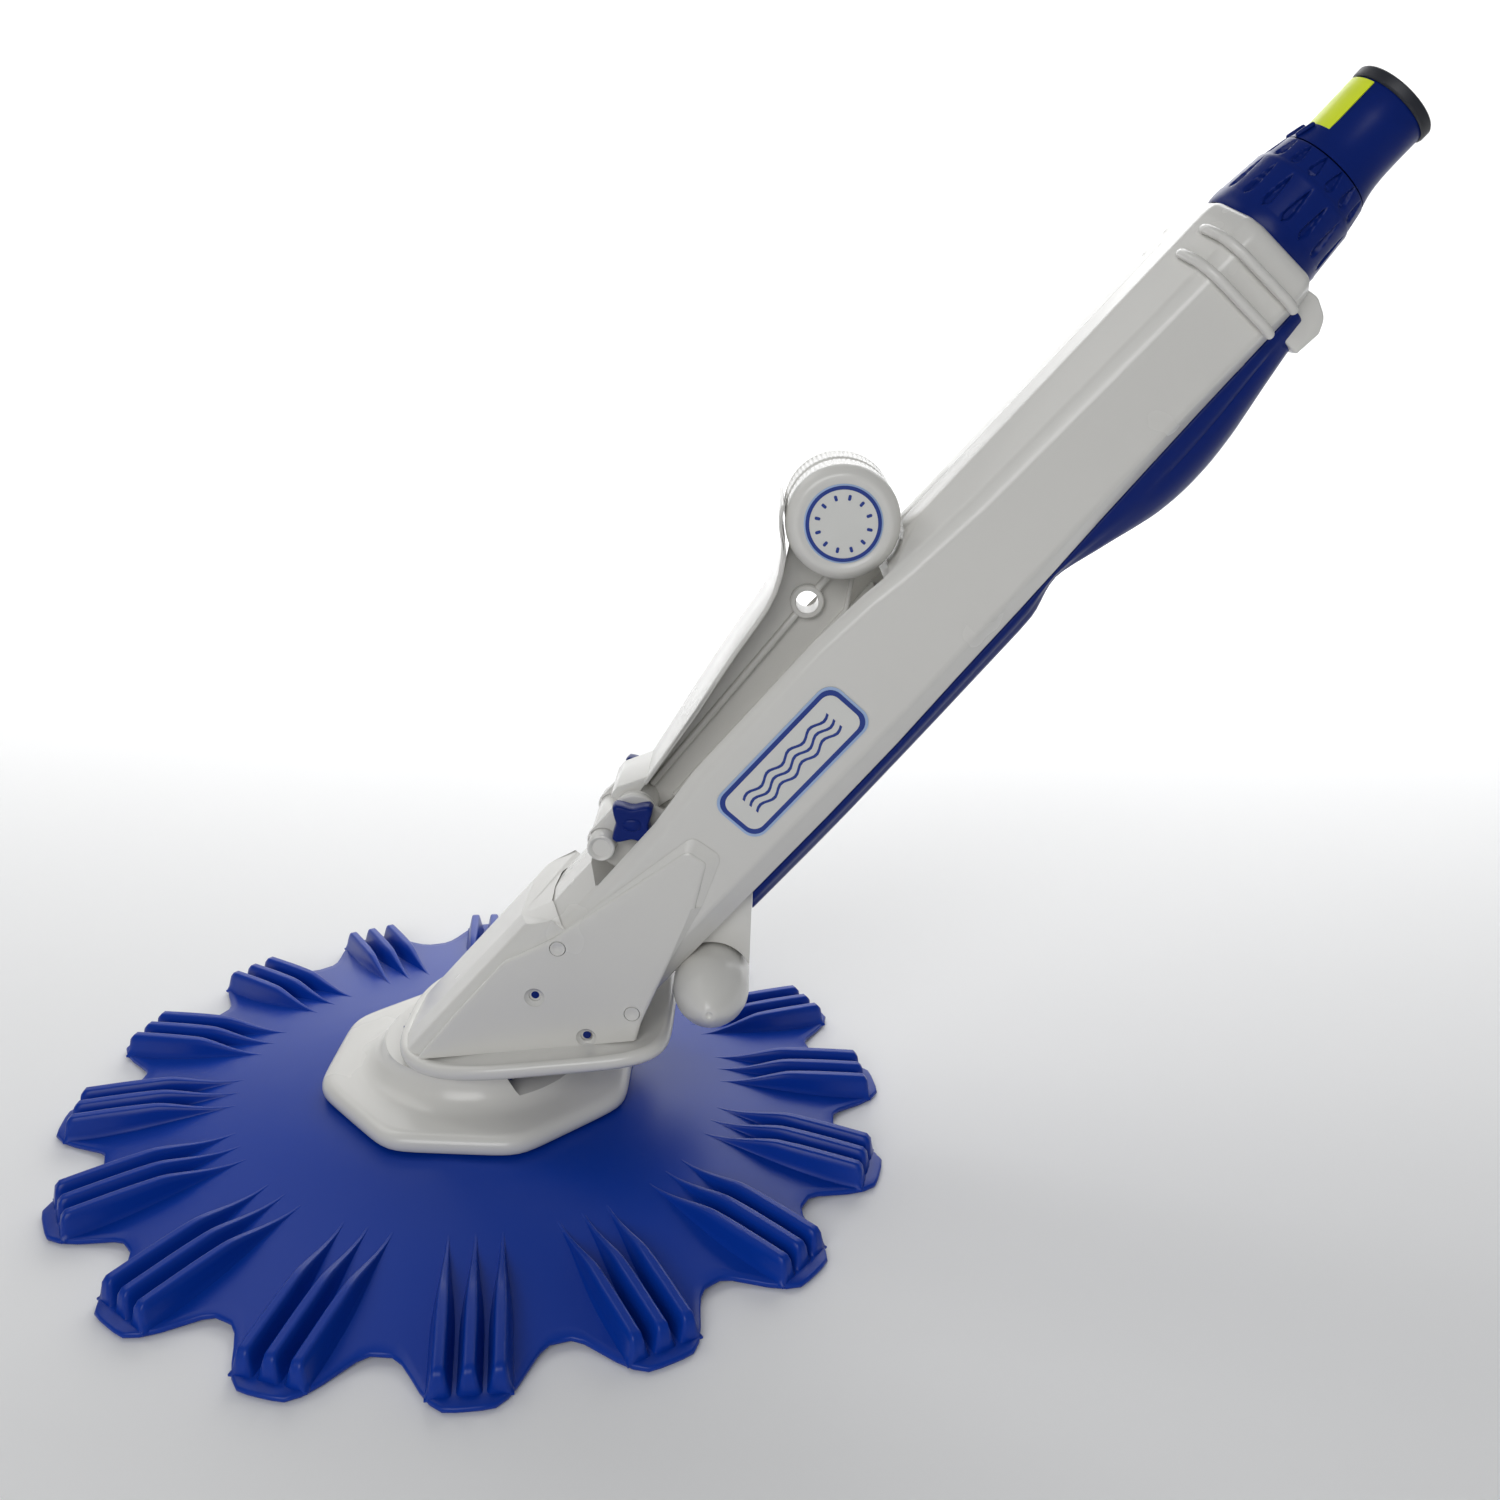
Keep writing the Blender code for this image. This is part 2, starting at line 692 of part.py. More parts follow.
for name, sign in (("left", -1), ("right", 1)):
    ring = section(outer_path + inner_path[::-1], sign)
    casing = add(f"casing_{name}", prism(ring, 0.0, CASING_TOP), WHITE, tube)
    for number, station in enumerate(RAIL_STATIONS):
        near, far = sorted((sign * (CASING_HALF_WIDTH - 0.001), sign * (CASING_HALF_WIDTH + RAIL_PROUD)))
        rail = box(
            (-SIDE_TOP - 0.004, near, station - RAIL_WIDTH / 2),
            (-SIDE_BOTTOM, far, station + RAIL_WIDTH / 2),
        )
        join(casing, add(f"rail_{name}_{number}", rail, None, tube))
    cut(casing, recess, well, head_trim)
    for place, height in (("front", FLAPPER_PIN_HEIGHT), ("rear", THROAT_PIN_HEIGHT)):
        near, far = sorted((sign * (BELLY_HALF - 0.01), sign * (CASING_HALF_WIDTH + 0.01)))
        hole_mesh = cylinder(PIN_RADIUS + GAP, near, far, axis="Y", segments=20)
        hole = add(f"casing_hole_{name}_{place}", hole_mesh, None, tube, (-height, 0, PIN_STATION))
        cut(casing, hole)

cradle_path = inset(casing_path(start_y=0.0), WALL + GAP)
floor_low = RECESS_FLOOR - WALL
well_start = asin((RECESS_END - wheel.x) / well_radius) - pi / 2
well_end = asin((CROWN - wheel.y) / well_radius)
well_arc = arc((wheel.x, wheel.y), well_radius, well_start, well_end, 8)
cradle_profile = (
    [(RECESS_START, floor_low), (RECESS_START, RECESS_FLOOR)]
    + [(RECESS_END - WALL, RECESS_FLOOR), (RECESS_END, RECESS_FLOOR + WALL)]
    + well_arc
    + [(well_arc[-1][0] + WALL, CROWN), (RECESS_END + 0.006, RECESS_FLOOR), (RECESS_END - WALL, floor_low)]
)
cradle = add("arm_cradle", prism(cradle_profile[::-1], -0.06, 0.06), WHITE, tube_side)
cradle_room = prism(full_section(cradle_path), RECESS_START, RECESS_END + 0.05)
combine(cradle, "INTERSECT", add("cradle_room", cradle_room, None, tube))

hood_inner = casing_path(clearance=GAP, start_y=0.0)[:4]
hood_outer = [
    (HOOD_TOP, 0.0),
    (HOOD_TOP - 0.0015, 0.55 * CASING_HALF_WIDTH),
    (HOOD_TOP - 0.0075, 0.92 * CASING_HALF_WIDTH),
    (HOOD_TOP - 0.0105, CASING_HALF_WIDTH),
]
hood_rim = [(hood_inner[3][0] + 0.001, CASING_HALF_WIDTH)]
hood_outline = section(hood_outer + hood_rim + hood_inner[2::-1])
hood_outline += section(hood_inner[1:3] + hood_rim + hood_outer[:0:-1], -1)
hood = add("front_hood", prism(hood_outline, 0.0, HOOD_END), WHITE, tube)
cut(hood, head_trim)

# ---------------------------------------------------------------- side panels, pins and plugs

panel_outline = [
    (0.0, PANEL_FRONT),
    (PANEL_SHOULDER, PANEL_FRONT),
    (PANEL_TIP, PANEL_TIP_TOP),
    (PANEL_TIP, PANEL_TIP_BOTTOM),
    (PANEL_REAR_STATION, PANEL_REAR_HEIGHT),
    (0.0, PANEL_REAR_HEIGHT),
][::-1]
panel_low = CASING_HALF_WIDTH + GAP
panel_high = panel_low + PANEL_THICKNESS
for name, sign in (("left", -1), ("right", 1)):
    near, far = sorted((-sign * panel_low, -sign * panel_high))
    panel = add(f"side_panel_{name}", prism(panel_outline, near, far), WHITE, tube_side)
    cut(panel, head_trim)
    for place, height in (("front", FLAPPER_PIN_HEIGHT), ("rear", THROAT_PIN_HEIGHT)):
        wide, narrow = PIN_SINK, PIN_RADIUS + 0.001
        ends = (narrow, wide) if sign > 0 else (wide, narrow)
        sink_low, sink_high = sorted((sign * (panel_low - 0.0002), sign * (panel_high + 0.0002)))
        sink_mesh = cylinder(ends[0], sink_low, sink_high, axis="Y", segments=20, top_radius=ends[1])
        sink = add(f"sink_{name}_{place}", sink_mesh, None, tube, (-height, 0, PIN_STATION))
        cut(panel, sink)
    for number, (station, height) in enumerate(PLUG_PLACES):
        low, high = sorted((sign * (panel_low - 0.001), sign * (panel_high + 0.001)))
        socket_mesh = cylinder(PLUG_RADIUS + GAP, low, high, axis="Y", segments=16)
        cut(panel, add(f"socket_{name}_{number}", socket_mesh, None, tube, (-height, 0, station)))
        low, high = sorted((sign * panel_low, sign * (panel_high + 0.0006)))
        plug_mesh = cylinder(PLUG_RADIUS, low, high, axis="Y", segments=16)
        add(f"panel_plug_{name}_{number + 1}", plug_mesh, WHITE, tube, (-height, 0, station))

pin_half = CASING_HALF_WIDTH + GAP / 2
flapper_axis = frame("flapper_axis", tube, (-FLAPPER_PIN_HEIGHT, 0, PIN_STATION))
pin_mesh = cylinder(PIN_RADIUS, -pin_half, pin_half, axis="Y", segments=20)
add("flapper_pin", pin_mesh, BLUE, flapper_axis)
throat_axis = frame("throat_pin_axis", tube, (-THROAT_PIN_HEIGHT, 0, PIN_STATION))
add("throat_pin", pin_mesh.copy(), BLUE, throat_axis)

# ---------------------------------------------------------------- throat, flappers, pipes and bulkheads

throat_outline = full_section(inset(casing_path(start_y=0.0), WALL + GAP))
throat = add("throat", prism(throat_outline, 0.0, THROAT_TOP), BLUE, tube)
throat_trim = add("throat_trim", box((-0.2, -0.2, -0.2), (0.2, 0.2, 0.0015)), None, collar_frame)
for name, sign in (("left", -1), ("right", 1)):
    near, far = sorted((sign * channel_in, sign * channel_out))
    channel = box((-channel_top, near, -0.05), (-channel_bottom, far, THROAT_TOP + 0.05))
    cut(throat, add(f"channel_{name}", channel, None, tube))
pin_clear = cylinder(PIN_RADIUS + GAP, -0.1, 0.1, axis="Y", segments=20)
cut(throat, throat_trim)
cut(throat, add("flapper_pin_hole", pin_clear, None, tube, (-FLAPPER_PIN_HEIGHT, 0, PIN_STATION)))
cut(throat, add("throat_pin_hole", pin_clear.copy(), None, tube, (-THROAT_PIN_HEIGHT, 0, PIN_STATION)))

flapper_outline = arc((0, 0), FLAPPER_BARREL, 0.30 * pi, 1.70 * pi, 12) + [
    (FLAPPER_LENGTH, -0.0014),
    (FLAPPER_LENGTH, 0.0014),
]
flapper_side = frame("flapper_side", flapper_axis, rotation=SIDE_TURN)
for name, sign in (("left", -1), ("right", 1)):
    near, far = sorted((-sign * (channel_in + 0.001), -sign * (channel_out - 0.001)))
    flapper = add(f"flapper_{name}", prism(flapper_outline, near, far), BLACK, flapper_side)
    bore_mesh = cylinder(PIN_RADIUS + GAP, -0.05, 0.05, segments=20)
    cut(flapper, add(f"flapper_bore_{name}", bore_mesh, None, flapper_side))

for name, sign in (("left", -1), ("right", 1)):
    turned(
        f"inner_pipe_{name}",
        [
            (PIPE_RADIUS, PIPE_END),
            (PIPE_RADIUS, PIPE_START),
            (PIPE_RADIUS - PIPE_WALL, PIPE_START),
            (PIPE_RADIUS - PIPE_WALL, PIPE_END),
        ],
        WHITE,
        tube,
        (-PIPE_HEIGHT, sign * PIPE_OFFSET, 0),
        steps=28,
    )
bulkhead_path = inset(casing_path(start_y=0.0), WALL + GAP)
for place, station in zip(("lower", "upper"), BULKHEAD_STATIONS):
    plate = prism(full_section(bulkhead_path), station, station + BULKHEAD_THICKNESS)
    bulkhead = add(f"pipe_bulkhead_{place}", plate, WHITE, tube)
    for name, sign in (("left", -1), ("right", 1)):
        hole_mesh = cylinder(PIPE_RADIUS + GAP, station - 0.01, station + 0.02, segments=28)
        spot = (-PIPE_HEIGHT, sign * PIPE_OFFSET, 0)
        cut(bulkhead, add(f"bulkhead_hole_{place}_{name}", hole_mesh, None, tube, spot))

# ---------------------------------------------------------------- belly cover and float

cover_top = BELLY - GAP
cover_start = COVER_START_X + AXIS_LIFT * cos(LEAN)


def cover_face(height):
    """Return the station where the cover's upright lower end meets a height."""
    return (cover_start + height * cos(LEAN)) / sin(LEAN)


bulge = [
    (COVER_WAIST_STATION - 0.016, COVER_STRIP + 0.001),
    (COVER_WAIST_STATION - 0.008, COVER_WAIST),
    (COVER_WAIST_STATION + 0.006, COVER_WAIST),
    (COVER_WAIST_STATION + 0.026, 0.5 * (COVER_WAIST + COVER_BULGE)),
    (COVER_DEEPEST_STATION - 0.018, COVER_BULGE + 0.0015),
    (COVER_DEEPEST_STATION, COVER_BULGE),
    (COVER_DEEPEST_STATION + 0.030, COVER_BULGE + 0.003),
    (COVER_END - 0.024, 0.5 * (COVER_BULGE + BELLY) - 0.004),
    (COVER_END, BELLY - 0.012),
    (COVER_END, cover_top),
]
cover_profile = [
    (cover_face(cover_top), cover_top),
    (cover_face(COVER_STRIP), COVER_STRIP),
] + bulge
cover = add("belly_cover", prism(cover_profile, -BELLY_HALF, BELLY_HALF), BLUE, tube_side)
keel = [
    (cover_top + 0.010, 0.0),
    (cover_top + 0.010, BELLY_HALF - 0.001),
    (BELLY - 0.007, BELLY_HALF - 0.002),
    (COVER_STRIP - 0.001, BELLY_HALF - 0.008),
    (COVER_BULGE - 0.001, 0.4 * BELLY_HALF),
    (COVER_BULGE - 0.001, 0.0),
]
keel_mesh = prism(full_section(keel), 0.1, CASING_TOP)
combine(cover, "INTERSECT", add("keel_cutter", keel_mesh, None, tube))
hollow_start = cover_face(cover_top) + COVER_WALL
hollow_profile = [
    (hollow_start, cover_top + 0.002),
    (hollow_start, COVER_STRIP + COVER_WALL),
    (COVER_WAIST_STATION - 0.016, COVER_STRIP + 0.001 + COVER_WALL),
    (COVER_WAIST_STATION - 0.008, COVER_WAIST + COVER_WALL),
    (COVER_WAIST_STATION + 0.008, COVER_WAIST + COVER_WALL),
    (COVER_DEEPEST_STATION - 0.016, COVER_BULGE + 0.0015 + COVER_WALL),
    (COVER_DEEPEST_STATION, COVER_BULGE + COVER_WALL),
    (COVER_DEEPEST_STATION + 0.030, COVER_BULGE + 0.003 + COVER_WALL),
    (COVER_END - 0.024 - COVER_WALL, 0.5 * (COVER_BULGE + BELLY)),
    (COVER_END - 0.024 - COVER_WALL, cover_top + 0.002),
]
float_room = add("float_room", prism(hollow_profile, -BELLY_HALF, BELLY_HALF), None, tube_side)
inner_keel = prism(full_section(inset(keel, COVER_WALL)), 0.1, CASING_TOP)
combine(float_room, "INTERSECT", add("inner_keel", inner_keel, None, tube))
cut(cover, float_room)
float_profile = [
    (COVER_WAIST_STATION + 0.027, cover_top - 0.0005),
    (COVER_WAIST_STATION + 0.027, COVER_WAIST),
    (COVER_DEEPEST_STATION - 0.016, COVER_BULGE + 0.0035 + COVER_WALL),
    (COVER_DEEPEST_STATION + 0.028, COVER_BULGE + 0.0045 + COVER_WALL),
    (COVER_END - 0.030 - COVER_WALL, 0.5 * (COVER_BULGE + BELLY) + 0.002),
    (COVER_END - 0.030 - COVER_WALL, cover_top - 0.0005),
]
float_half = 0.4 * BELLY_HALF - COVER_WALL
add("float_block", prism(float_profile, -float_half, float_half), FOAM, tube_side)

# ---------------------------------------------------------------- outlet, nut and hose tail

outlet_path = casing_path(start_y=0.0)
outlet_plate = prism(full_section(outlet_path), CASING_TOP + GAP, OUTLET_END)
outlet = add("outlet_collar", outlet_plate, WHITE, tube)
soften(outlet, 0.0040, segments=3, angle=60)
tab = prism(
    [
        (CASING_TOP + GAP, BELLY + 0.010),
        (CASING_TOP + GAP, BELLY - TAB_LENGTH),
        (CASING_TOP + 0.004, BELLY - TAB_LENGTH - 0.001),
        (OUTLET_END - 0.0005, BELLY - 0.004),
        (OUTLET_END - 0.0005, BELLY + 0.010),
    ],
    -0.6 * BELLY_HALF,
    0.6 * BELLY_HALF,
)
join(outlet, add("outlet_tab", tab, None, tube_side))
join(outlet, add("outlet_spigot", cylinder(SPIGOT_TUBE_RADIUS, CASING_TOP + 0.003, SPIGOT_END), None, tube))
cut(outlet, add("outlet_bore", cylinder(BORE_RADIUS, CASING_TOP - 0.05, SPIGOT_END + 0.05), None, tube))

washer_bottom = SPIGOT_END + GAP
washer_top = washer_bottom + WASHER_THICKNESS
flange_start = washer_top + GAP
flange_end = flange_start + TAIL_FLANGE_THICKNESS
cavity_radius = TAIL_FLANGE_RADIUS + GAP
turned(
    "swivel_washer",
    [
        (TAIL_FLANGE_RADIUS, washer_top),
        (TAIL_FLANGE_RADIUS, washer_bottom),
        (BORE_RADIUS, washer_bottom),
        (BORE_RADIUS, washer_top),
    ],
    BLACK,
    tube,
    steps=28,
)
turned(
    "swivel_nut",
    [
        (TAIL_RADIUS + 2 * GAP, NUT_END),
        (NUT_SHOULDER_RADIUS - 0.0040, NUT_END),
        (NUT_SHOULDER_RADIUS, NUT_SHOULDER),
        (NUT_RADIUS, NUT_SKIRT_END),
        (NUT_RADIUS - 0.0005, OUTLET_END + GAP),
        (SPIGOT_TUBE_RADIUS + GAP, OUTLET_END + GAP),
        (SPIGOT_TUBE_RADIUS + GAP, SPIGOT_END),
        (cavity_radius, SPIGOT_END),
        (cavity_radius, flange_end + GAP),
        (TAIL_RADIUS + 2 * GAP, flange_end + GAP),
    ],
    BLUE,
    tube,
    steps=36,
)
hose_axis = frame("hose_swivel_axis", tube, (0, 0, flange_end))
seal_start = TAIL_END - SEAL_LENGTH
tail = turned(
    "hose_tail",
    [
        (TAIL_RADIUS, TAIL_END - flange_end),
        (TAIL_RADIUS, 0),
        (TAIL_FLANGE_RADIUS, 0),
        (TAIL_FLANGE_RADIUS, flange_start - flange_end),
        (BORE_RADIUS, flange_start - flange_end),
        (BORE_RADIUS, TAIL_END - flange_end),
    ],
    BLUE,
    hose_axis,
    steps=28,
)
turned(
    "hose_seal_ring",
    [
        (TAIL_RADIUS + SEAL_PROUD, TAIL_END - flange_end),
        (TAIL_RADIUS + SEAL_PROUD, seal_start - flange_end + 0.001),
        (TAIL_RADIUS + SEAL_PROUD - 0.001, seal_start - flange_end),
        (TAIL_RADIUS + GAP, seal_start - flange_end),
        (TAIL_RADIUS + GAP, TAIL_END - flange_end),
    ],
    BLACK,
    hose_axis,
    steps=28,
)
label_radius = TAIL_RADIUS + GAP
label_turn = LABEL_WIDTH / label_radius / 2
label_outline = arc((0, 0), label_radius, pi - label_turn, pi + label_turn, 8)
label_outline += arc((0, 0), label_radius + LABEL_THICKNESS, pi + label_turn, pi - label_turn, 8)
label_mesh = prism(label_outline, NUT_END + 0.004 - flange_end, seal_start - 0.001 - flange_end)
add("hose_label", label_mesh, YELLOW, hose_axis)

# ---------------------------------------------------------------- bumper arm, saddle, knobs and wheels

ear_out = EAR_INNER + EAR_THICKNESS
stop = Vector(STOP_PIN)
saddle_base = RECESS_FLOOR + GAP
saddle_path = [
    (saddle_base, ear_out),
    (pivot.y + 0.03, ear_out),
    (pivot.y + 0.03, EAR_INNER),
    (saddle_base + WALL, EAR_INNER),
]
saddle_outline = section(saddle_path) + section(saddle_path[::-1], -1)
saddle = add("pivot_saddle", prism(saddle_outline, stop.x - 0.02, pivot.x + 0.02), WHITE, tube)
ear_radius = HUB_RADIUS + 0.0005
stop_ear = STOP_PIN_RADIUS + 0.003
ear_view = (
    [(RECESS_START + 0.002, saddle_base - 0.001)]
    + [(pivot.x + 0.014, saddle_base - 0.001), (pivot.x + ear_radius, pivot.y - 0.004)]
    + arc((pivot.x, pivot.y), ear_radius, 0, 0.6 * pi, 8)
    + arc((stop.x, stop.y), stop_ear, 0.45 * pi, pi, 8)
)
ear_mesh = prism(ear_view, -0.05, 0.05)
combine(saddle, "INTERSECT", add("ear_view", ear_mesh, None, tube_side))
stop_hole_mesh = cylinder(STOP_PIN_RADIUS + GAP, -0.05, 0.05, axis="Y", segments=28)
cut(saddle, add("stop_hole", stop_hole_mesh, None, tube, (-stop.y, 0, stop.x)))
stop_mesh = cylinder(STOP_PIN_RADIUS, -STOP_PIN_HALF, STOP_PIN_HALF, axis="Y", segments=28)
add("stop_pin", stop_mesh, WHITE, tube, (-stop.y, 0, stop.x))

knob_start = ear_out + GAP
knob_neck_end = knob_start + KNOB_NECK_LENGTH
knob_end = knob_neck_end + KNOB_THICKNESS
bolt_half = knob_neck_end + 0.6 * KNOB_THICKNESS
arm_axis = frame("arm_axis", tube, (-pivot.y, 0, pivot.x))
bolt_hole_mesh = cylinder(BOLT_RADIUS + GAP, -0.05, 0.05, axis="Y", segments=24)
bolt_hole = add("bolt_hole", bolt_hole_mesh, None, arm_axis)
cut(saddle, bolt_hole)
add("arm_bolt", cylinder(BOLT_RADIUS, -bolt_half, bolt_half, axis="Y", segments=24), STEEL, arm_axis)

reach = (wheel - pivot).length
arm_turn = atan2(wheel.y - pivot.y, wheel.x - pivot.x)
arm_frame = frame(
    "arm_frame",
    arm_axis,
    rotation=SIDE_TURN @ Matrix.Rotation(arm_turn, 3, "Z"),
)
eye_clear = WHEEL_RADIUS + 0.0012
flare_radius = eye_clear + FLANGE_WALL
front_edge = [(FLANGE_WALL_START, 0.0050), (0.060, 0.0060), (0.097, 0.0072), (0.120, 0.0066)]
front_line = front_edge + arc((reach, 0), flare_radius, 0.81 * pi, 0.62 * pi, 5)
inner_line = [(x, y - FLANGE_WALL) for x, y in front_edge]
inner_line += arc((reach, 0), eye_clear, 0.81 * pi, 0.62 * pi, 5)
web_outline = (
    [(0.0, -0.010)]
    + [(0.012, -0.0145), (0.136, -0.0295), (reach - 0.014, -0.0195)]
    + arc((reach, 0), EYE_RADIUS, -0.62 * pi, 0.62 * pi, 12)
    + [(0.144, 0.0080), (0.120, 0.0055), (0.097, 0.0061), (0.060, 0.0049), (0.016, 0.0039)]
)
# The heel meets the stop pin when the arm has swung open by 60 degrees.
heel_outline = [(0.0, 0.0035), (0.0180, 0.0035), (0.0180, 0.0042), (0.0050, 0.0146), ARM_HEEL]
arm = add("bumper_arm", prism(web_outline, -WEB_HALF, WEB_HALF), WHITE, arm_frame)
wall_mesh = prism((front_line + inner_line[::-1])[::-1], -FLANGE_WALL_HALF, FLANGE_WALL_HALF)
hub_half = EAR_INNER - 2 * GAP
hub_mesh = cylinder(HUB_RADIUS, -hub_half, hub_half, segments=24)
window = Vector(WINDOW_PLACE)
spine = window / window.length
side_step = Vector((-spine.y, spine.x)) * 0.0015
spine_start = spine * 0.008
spine_end = window - spine * (WINDOW_RING - 0.001)
spine_outline = [
    tuple(spine_start - side_step),
    tuple(spine_end - side_step),
    tuple(spine_end + side_step),
    tuple(spine_start + side_step),
]
join(
    arm,
    add("arm_wall", wall_mesh, None, arm_frame),
    add("arm_heel", prism(heel_outline, -HEEL_HALF, HEEL_HALF), None, arm_frame),
    add("arm_hub", hub_mesh, None, arm_frame),
    add("arm_spine", prism(spine_outline, -RIB_HALF, RIB_HALF), None, arm_frame),
    add("arm_ring", cylinder(WINDOW_RING, -RIB_HALF, RIB_HALF, segments=24), None, arm_frame, (*window, 0)),
)
axle_hole_mesh = cylinder(WHEEL_AXLE_RADIUS + GAP, -0.02, 0.02, segments=20)
cut(
    arm,
    add("arm_window", cylinder(WINDOW_RADIUS, -0.05, 0.05, segments=24), None, arm_frame, (*window, 0)),
    bolt_hole,
    add("axle_hole", axle_hole_mesh, None, arm_frame, (reach, 0, 0)),
)

wheel_axis = frame("wheel_axis", arm_frame, (reach, 0, 0))
axle_half = WHEEL_HALF - 0.0006
add("wheel_axle", cylinder(WHEEL_AXLE_RADIUS, -axle_half, axle_half, segments=24), STEEL, wheel_axis)
chamfer = WHEEL_RADIUS - WHEEL_FACE_RADIUS
for name, sign in (("left", 1), ("right", -1)):
    half = frame(f"wheel_{name}_half", wheel_axis, rotation=Matrix.Rotation(0 if sign > 0 else pi, 3, "X"))
    bore = WHEEL_AXLE_RADIUS + GAP
    turned(
        f"bumper_wheel_{name}",
        [
            (bore, WHEEL_HALF),
            (WHEEL_FACE_RADIUS - 0.001, WHEEL_HALF),
            (WHEEL_FACE_RADIUS, WHEEL_HALF - 0.0004),
            (WHEEL_RADIUS, WHEEL_HALF - 0.9 * chamfer),
            (WHEEL_RADIUS, WEB_HALF + GAP),
            (bore, WEB_HALF + GAP),
        ],
        WHITE,
        half,
        steps=32,
    )
    cap_low = WHEEL_HALF + GAP
    cap_mesh = cylinder(CAP_RADIUS, cap_low, cap_low + CAP_THICKNESS, segments=40)
    add(f"wheel_cap_{name}", cap_mesh, BADGE, half)


def knob_outline():
    """Return a square with four inward-curved sides and clipped corners."""
    outline = []
    for quarter in range(4):
        turn = Matrix.Rotation(quarter * pi / 2, 2)
        for i in range(5):
            t = i / 4 * 2 - 1
            x = KNOB_HALF - KNOB_PINCH * (1 - t * t)
            outline.append(tuple(turn @ Vector((x, t * (KNOB_HALF - 0.0012)))))
    return outline


for name, sign in (("left", 1), ("right", -1)):
    knob_half_frame = frame(
        f"knob_{name}_frame",
        arm_axis,
        rotation=SIDE_TURN @ Matrix.Rotation(0 if sign > 0 else pi, 3, "X") @ Matrix.Rotation(LEAN, 3, "Z"),
    )
    knob = add(f"arm_knob_{name}", prism(knob_outline(), knob_neck_end, knob_end), BLUE, knob_half_frame)
    neck_mesh = cylinder(KNOB_NECK_RADIUS, knob_start, knob_neck_end + 0.002)
    join(knob, add(f"knob_neck_{name}", neck_mesh, None, knob_half_frame))
    socket_mesh = cylinder(BOLT_RADIUS + GAP, 0, bolt_half + GAP, segments=24)
    cut(knob, add(f"knob_socket_{name}", socket_mesh, None, knob_half_frame))

# ---------------------------------------------------------------- rear bracket and rollers

belly_slope = tan(pi / 2 - LEAN)
belly_drop = (AXIS_LIFT + BELLY) / cos(pi / 2 - LEAN) - GAP / cos(pi / 2 - LEAN)


def belly_line(x):
    """Return the height of the casing's belly above the floor, less a gap, at a distance x."""
    return x * belly_slope + belly_drop


bracket_rear = COVER_START_X - GAP
block_outline = [
    (BRACKET_FRONT, BRACKET_BLOCK_BOTTOM),
    (bracket_rear, BRACKET_BLOCK_BOTTOM),
    (bracket_rear, belly_line(bracket_rear)),
    (BRACKET_FRONT, belly_line(BRACKET_FRONT)),
]
bracket = add("roller_bracket", prism(block_outline, -BRACKET_HALF, BRACKET_HALF), WHITE, side)
leg_outline = [
    (ROLLER_X + 0.013, BRACKET_BLOCK_BOTTOM + 0.004),
    (ROLLER_X - 0.013, BRACKET_BLOCK_BOTTOM + 0.004),
] + arc((ROLLER_X, ROLLER_Z), 0.0095, pi, 2 * pi, 12)
leg = add("bracket_leg", prism(leg_outline, -BRACKET_LEG_HALF, BRACKET_LEG_HALF), None, side)
roller_axis = frame("roller_axis", side, (ROLLER_X, ROLLER_Z, 0))
for name, sign in (("left", 1), ("right", -1)):
    near, far = sorted((sign * (BRACKET_LEG_HALF + GAP), sign * 0.05))
    arch_mesh = cylinder(ROLLER_RADIUS + 0.0015, near, far, segments=40)
    cut(bracket, add(f"arch_{name}", arch_mesh, None, roller_axis))
join(bracket, leg)
axle_hole_mesh = cylinder(ROLLER_AXLE_RADIUS + GAP, -0.05, 0.05, segments=20)
cut(bracket, add("roller_axle_hole", axle_hole_mesh, None, roller_axis))
roller_axle_half = ROLLER_CYLINDER_END + 0.006
axle_mesh = cylinder(ROLLER_AXLE_RADIUS, -roller_axle_half, roller_axle_half, segments=20)
add("roller_axle", axle_mesh, STEEL, roller_axis)
for name, sign in (("left", 1), ("right", -1)):
    half_turn = Matrix.Rotation(0 if sign > 0 else pi, 3, "X")
    half = frame(f"roller_{name}_half", roller_axis, rotation=half_turn)
    bore = ROLLER_AXLE_RADIUS + GAP
    turned(
        f"rear_roller_{name}",
        [
            (0, ROLLER_TIP),
            (ROLLER_TIP_RADIUS, ROLLER_TIP),
            (ROLLER_RADIUS, ROLLER_CYLINDER_END),
            (ROLLER_RADIUS, ROLLER_INNER),
            (bore, ROLLER_INNER),
            (bore, roller_axle_half + GAP),
            (0, roller_axle_half + GAP),
        ],
        WHITE,
        half,
        steps=32,
        closed=False,
    )

# ---------------------------------------------------------------- badge plates

badge_outline = rounded_rectangle(
    (BADGE_STATION, BADGE_HEIGHT), BADGE_HALF_LENGTH, BADGE_HALF_WIDTH, BADGE_CORNER
)
for name, sign in (("left", 1), ("right", -1)):
    badge_low = CASING_HALF_WIDTH + GAP
    near, far = sorted((sign * badge_low, sign * (badge_low + BADGE_THICKNESS)))
    add(f"badge_{name}", prism(badge_outline, near, far), BADGE, tube_side)
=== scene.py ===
import json
from math import atan2, cos, hypot, pi, radians, sin, tan

import bmesh
import bpy
from mathutils import Matrix, Vector


